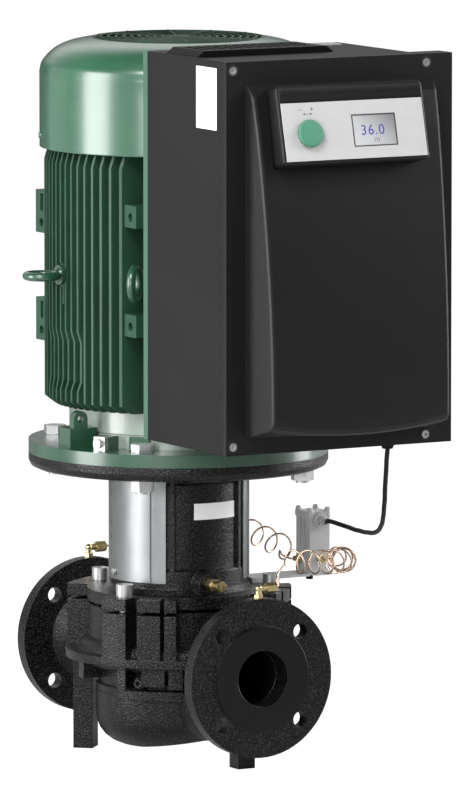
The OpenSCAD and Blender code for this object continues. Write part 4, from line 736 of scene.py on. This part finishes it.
def flatText(name, words, size, corner, material, slotName, spread=1.0):
    # Printed characters as a mesh 0.06 mm thick, with their lower left corner at the given place on
    # the display's plane.
    curve = bpy.data.curves.new(name, "FONT")
    curve.body = words
    curve.size = size
    curve.extrude = 0.03
    curve.resolution_u = 4
    curve.space_character = spread
    holder = bpy.data.objects.new(name + "_curve", curve)
    scene.collection.objects.link(holder)
    bpy.context.view_layer.update()
    mesh = bpy.data.meshes.new_from_object(holder.evaluated_get(bpy.context.evaluated_depsgraph_get()))
    bpy.data.objects.remove(holder)
    points = np.empty(len(mesh.vertices) * 3)
    mesh.vertices.foreach_get("co", points)
    mesh.vertices.foreach_set("co", onDisplay(points.reshape(-1, 3) + np.array(corner)).ravel())
    mesh.update()
    piece = bpy.data.objects.new(name, mesh)
    scene.collection.objects.link(piece)
    fitPiece(piece, "root", material, slotName)


def makeArrow(name, left, right, level, height):
    # Double arrow: two heads and a line, printed on the panel.
    parts = [boxPart((left + 2, level - 0.22, height), (right - 2, level + 0.22, height + 0.06))]
    for tip, back in ((left, left + 2.6), (right, right - 2.6)):
        points = np.array([(x, y, z) for z in (height, height + 0.06)
                           for x, y in ((tip, level), (back, level - 1.2), (back, level + 1.2))])
        parts.append((points, [(0, 1, 2), (5, 4, 3), (0, 3, 4, 1), (1, 4, 5, 2), (2, 5, 3, 0)]))
    fitPiece(joinedPiece(name, parts, onDisplay, smooth=False), "root", printGrey, "panel_white")


makeBezel(display)
makeKnob(display)
makeDisplayShadowRim(display)
flatText("display_digits", "36.0", 16.4, (8.0, -13.6, 0.62), digitInk, "display_glass", 1.12)
flatText("display_unit", "m", 10.0, (24.0, -22.0, 0.62), unitInk, "display_glass")
flatText("sign_minus", "\u2013", 8.5, (-68.6, 15.6, 1.0), printGrey, "panel_white")
flatText("sign_plus", "+", 8.5, (-54.8, 15.6, 1.0), printGrey, "panel_white")
makeArrow("sign_arrow", -64.2, -52.2, 13.0, 1.0)

# The screw seats are painted shade: dark rings round the cover's screws.
print("stage: labels, motor neck, screw seats, bracket screw, roof lip")
labels = {
    "lanternRadius": 76.0, "lanternAngles": (254.7, 299.2), "lanternLevels": (171, 190),
    "sideX": -147.0, "sideY": (-353.5, -307), "sideLevels": (651.5, 721.4), "thick": 0.25,
}
# Places of the painted shadow rings round the cover's screws.
screwShadowRings = {"places": ((-138, 295.6), (113, 295.6), (-138, 719.6), (113, 719.6)), "face": -375,
              "inner": 4.7, "outer": 7.6, "thick": 0.6}
bracketScrew = {"x": 165, "y": -20, "low": 83.4, "high": 88.2, "radius": 4.3}
roofLip = {"low": (45, -221, 729.2), "high": (92, -193.5, 730.9)}
motorNeck = {"levels": (259, 275, 302.2), "seam": 0.5, "outer": 127.3, "inner": 126.5,
             "root": 111, "steps": 160}


def makeLabels(c):
    # A blank band bent round the lantern and a blank flat plate on the module's side.
    angle = np.radians(np.linspace(*c["lanternAngles"], 28))
    level = np.array(c["lanternLevels"], float)
    grids = []
    for r in (c["lanternRadius"] + c["thick"], c["lanternRadius"] - 0.1):
        grids.append(np.stack([np.outer(np.cos(angle), [r, r]), np.outer(np.sin(angle), [r, r]),
                               np.repeat(level[None], len(angle), 0)], -1))
    band = joinedPiece("lantern_label", [thinBody(*grids)], onShaft, smooth=False)
    fitPiece(band, "root", labelFilm, "panel_white")
    plate = boxPart((c["sideX"] - c["thick"], c["sideY"][0], c["sideLevels"][0]),
                    (c["sideX"] + 0.1, c["sideY"][1], c["sideLevels"][1]))
    fitPiece(joinedPiece("side_label", [plate], onShaft, smooth=False), "root", labelFilm, "panel_white")


def makeScrewShadowRings(c):
    # Painted shade: black rings under the cover's screw heads, standing for the shadow in each screw's
    # recess.
    parts = []
    for x, z in c["places"]:
        ring, faces = lathePart([(c["inner"], 0), (c["outer"], 0), (c["outer"] - 0.4, c["thick"]),
                                 (c["inner"], c["thick"])], 32, True)
        parts.append((np.stack([ring[:, 0] + x, c["face"] + 0.1 - ring[:, 2], ring[:, 1] + z], 1), faces))
    fitPiece(joinedPiece("screw_shadow_rings", parts, onShaft, smooth=False), "root", gasketRubber, "gasket_rubber")


def makeMotorNeck(c):
    # The machined neck below the fins: a turned ring with a groove where shield and frame meet.
    low, joint, high = c["levels"]
    profile = [(c["root"], low), (c["outer"], low), (c["outer"], joint - c["seam"]),
               (c["outer"] - 2 * c["seam"], joint), (c["outer"], joint + c["seam"]), (c["outer"], high),
               (c["inner"], high), (c["inner"], joint + 1), (c["root"], joint)]
    piece = joinedPiece("motor_neck", [lathePart(profile, c["steps"], True)], onShaft, smooth=False)
    # Painted reflection: the neck's pale colour stands for the white sheen on it.
    fitPiece(piece, "root", neckSheenEnamel, "green_casting")


makeLabels(labels)
makeMotorNeck(motorNeck)
makeScrewShadowRings(screwShadowRings)
head, headFaces = lathePart([(bracketScrew["radius"] - 0.6, bracketScrew["low"]),
                             (bracketScrew["radius"], bracketScrew["low"] + 0.6),
                             (bracketScrew["radius"], bracketScrew["high"])], 32, False)
head = head + np.array([bracketScrew["x"], bracketScrew["y"], 0])
fitPiece(joinedPiece("bracket_screw", [(head, headFaces)], onShaft), "root", ventPlastic, "black_plug")
lip = joinedPiece("roof_lip", [boxPart(roofLip["low"], roofLip["high"])], onShaft, smooth=False)
fitPiece(lip, "root", lipPlastic, "housing_grey")

print("stage: floor and light")
studio = {
    "floorLevel": -0.110, "floorSize": 40.0, "floorGlow": 1.31, "glowShare": 0.77, "floorColour": "#bebebe",
    "frontLight": 0.14, "backLight": 1.1, "leftLight": 0.2, "depthRange": (-0.45, 0.65),
    "sideRange": (-0.30, 0.15),
    "byHeight": [(0.13, "#505050"), (0.36, "#ffffff"), (0.60, "#f0f0f0"), (0.85, "#606060")],
    "lamps": [
        # name, place, aim, width, height, power
        ("leftStrip", (-2.6, 0.62, 0.55), (0, 0.2, 0.35), 1.15, 2.4, 96),
        ("backLeft", (-1.52, 2.55, 0.5), (0, 0.2, 0.4), 1.5, 2.2, 6),
        ("rightStrip", (2.7, -0.3, 0.3), (0, 0.2, 0.3), 0.9, 1.4, 32),
        ("keySoft", (-1.75, -1.25, 2.6), (0, 0.1, 0.3), 1.2, 1.2, 78),
        ("rightFill", (2.3, -1.5, 1.9), (0, 0.1, 0.3), 1.4, 1.4, 46),
        ("lowFill", (-1.85, -1.55, 0.75), (0, 0.1, 0.1), 1.2, 0.9, 30),
        ("backEdge", (2.8, 0.9, 1.3), (0, 0.2, 0.35), 0.8, 1.8, 40),
    ],
}


def seenRays(tree):
    # 1 for rays from the camera and through glass, so that they see white ground, and 0 for the rest.
    path = addNode(tree, "LightPath")
    return addNode(tree, "Math", links={0: (path, "Is Camera Ray"), 1: (path, "Is Transmission Ray")},
                   operation="MAXIMUM")


def makeFloor(settings):
    half = settings["floorSize"] / 2
    z = settings["floorLevel"]
    floor = meshPiece("floor", [(-half, -half, z), (half, -half, z), (half, half, z), (-half, half, z)],
                      [(0, 1, 2, 3)])
    material, tree, output, place = newMaterial("paleFloor")
    matte = addNode(tree, "BsdfDiffuse", values={"Color": linear(settings["floorColour"])})
    glow = addNode(tree, "Emission", values={"Color": (1, 1, 1, 1), "Strength": settings["floorGlow"]})
    seen = seenRays(tree)
    share = addNode(tree, "Math", links={0: (seen, 0)}, values={1: settings["glowShare"]},
                    operation="MULTIPLY")
    mixed = addNode(tree, "MixShader", links={0: (share, 0), 1: (matte, 0), 2: (glow, 0)})
    finishWith(tree, output, mixed)
    floor.data.materials.append(material)


def makeWorld(settings):
    # Soft studio: bright behind the object, dim in front and to the left, and plain white for the
    # camera.
    world = bpy.data.worlds.new("studioWorld")
    world.use_nodes = True
    tree = world.node_tree
    tree.nodes.clear()
    out = addNode(tree, "OutputWorld")
    place = addNode(tree, "TexCoord")
    split = addNode(tree, "SeparateXYZ", links={"Vector": (place, "Generated")})
    across = addNode(tree, "MapRange", links={"Value": (split, "Y")},
                     values={"From Min": settings["depthRange"][0], "From Max": settings["depthRange"][1],
                             "To Min": settings["frontLight"], "To Max": settings["backLight"]})
    upwards = colourRamp(tree, (split, "Z"), settings["byHeight"])
    sideways = addNode(tree, "MapRange", links={"Value": (split, "X")},
                       values={"From Min": settings["sideRange"][0], "From Max": settings["sideRange"][1],
                               "To Min": settings["leftLight"], "To Max": 1.0})
    part = addNode(tree, "Math", links={0: (across, 0), 1: (sideways, 0)}, operation="MULTIPLY")
    amount = addNode(tree, "Math", links={0: (part, 0), 1: (upwards, 0)}, operation="MULTIPLY")
    soft = addNode(tree, "Background", links={"Strength": (amount, 0)}, values={"Color": (1, 1, 1, 1)})
    white = addNode(tree, "Background", values={"Color": (1, 1, 1, 1), "Strength": 1.0})
    seen = seenRays(tree)
    mixed = addNode(tree, "MixShader", links={0: (seen, 0), 1: (soft, 0), 2: (white, 0)})
    tree.links.new(mixed.outputs[0], out.inputs["Surface"])
    scene.world = world


def makeLamps(settings):
    for name, place, aim, width, height, power in settings["lamps"]:
        data = bpy.data.lights.new(name, "AREA")
        data.shape = "RECTANGLE"
        data.size = width
        data.size_y = height
        data.energy = power
        lamp = bpy.data.objects.new(name, data)
        lamp.location = place
        lamp.visible_camera = False
        lamp.rotation_mode = "QUATERNION"
        lamp.rotation_quaternion = (Vector(aim) - Vector(place)).to_track_quat("-Z", "Y")
        scene.collection.objects.link(lamp)


makeFloor(studio)
makeWorld(studio)
makeLamps(studio)
scene.view_settings.view_transform = "Standard"
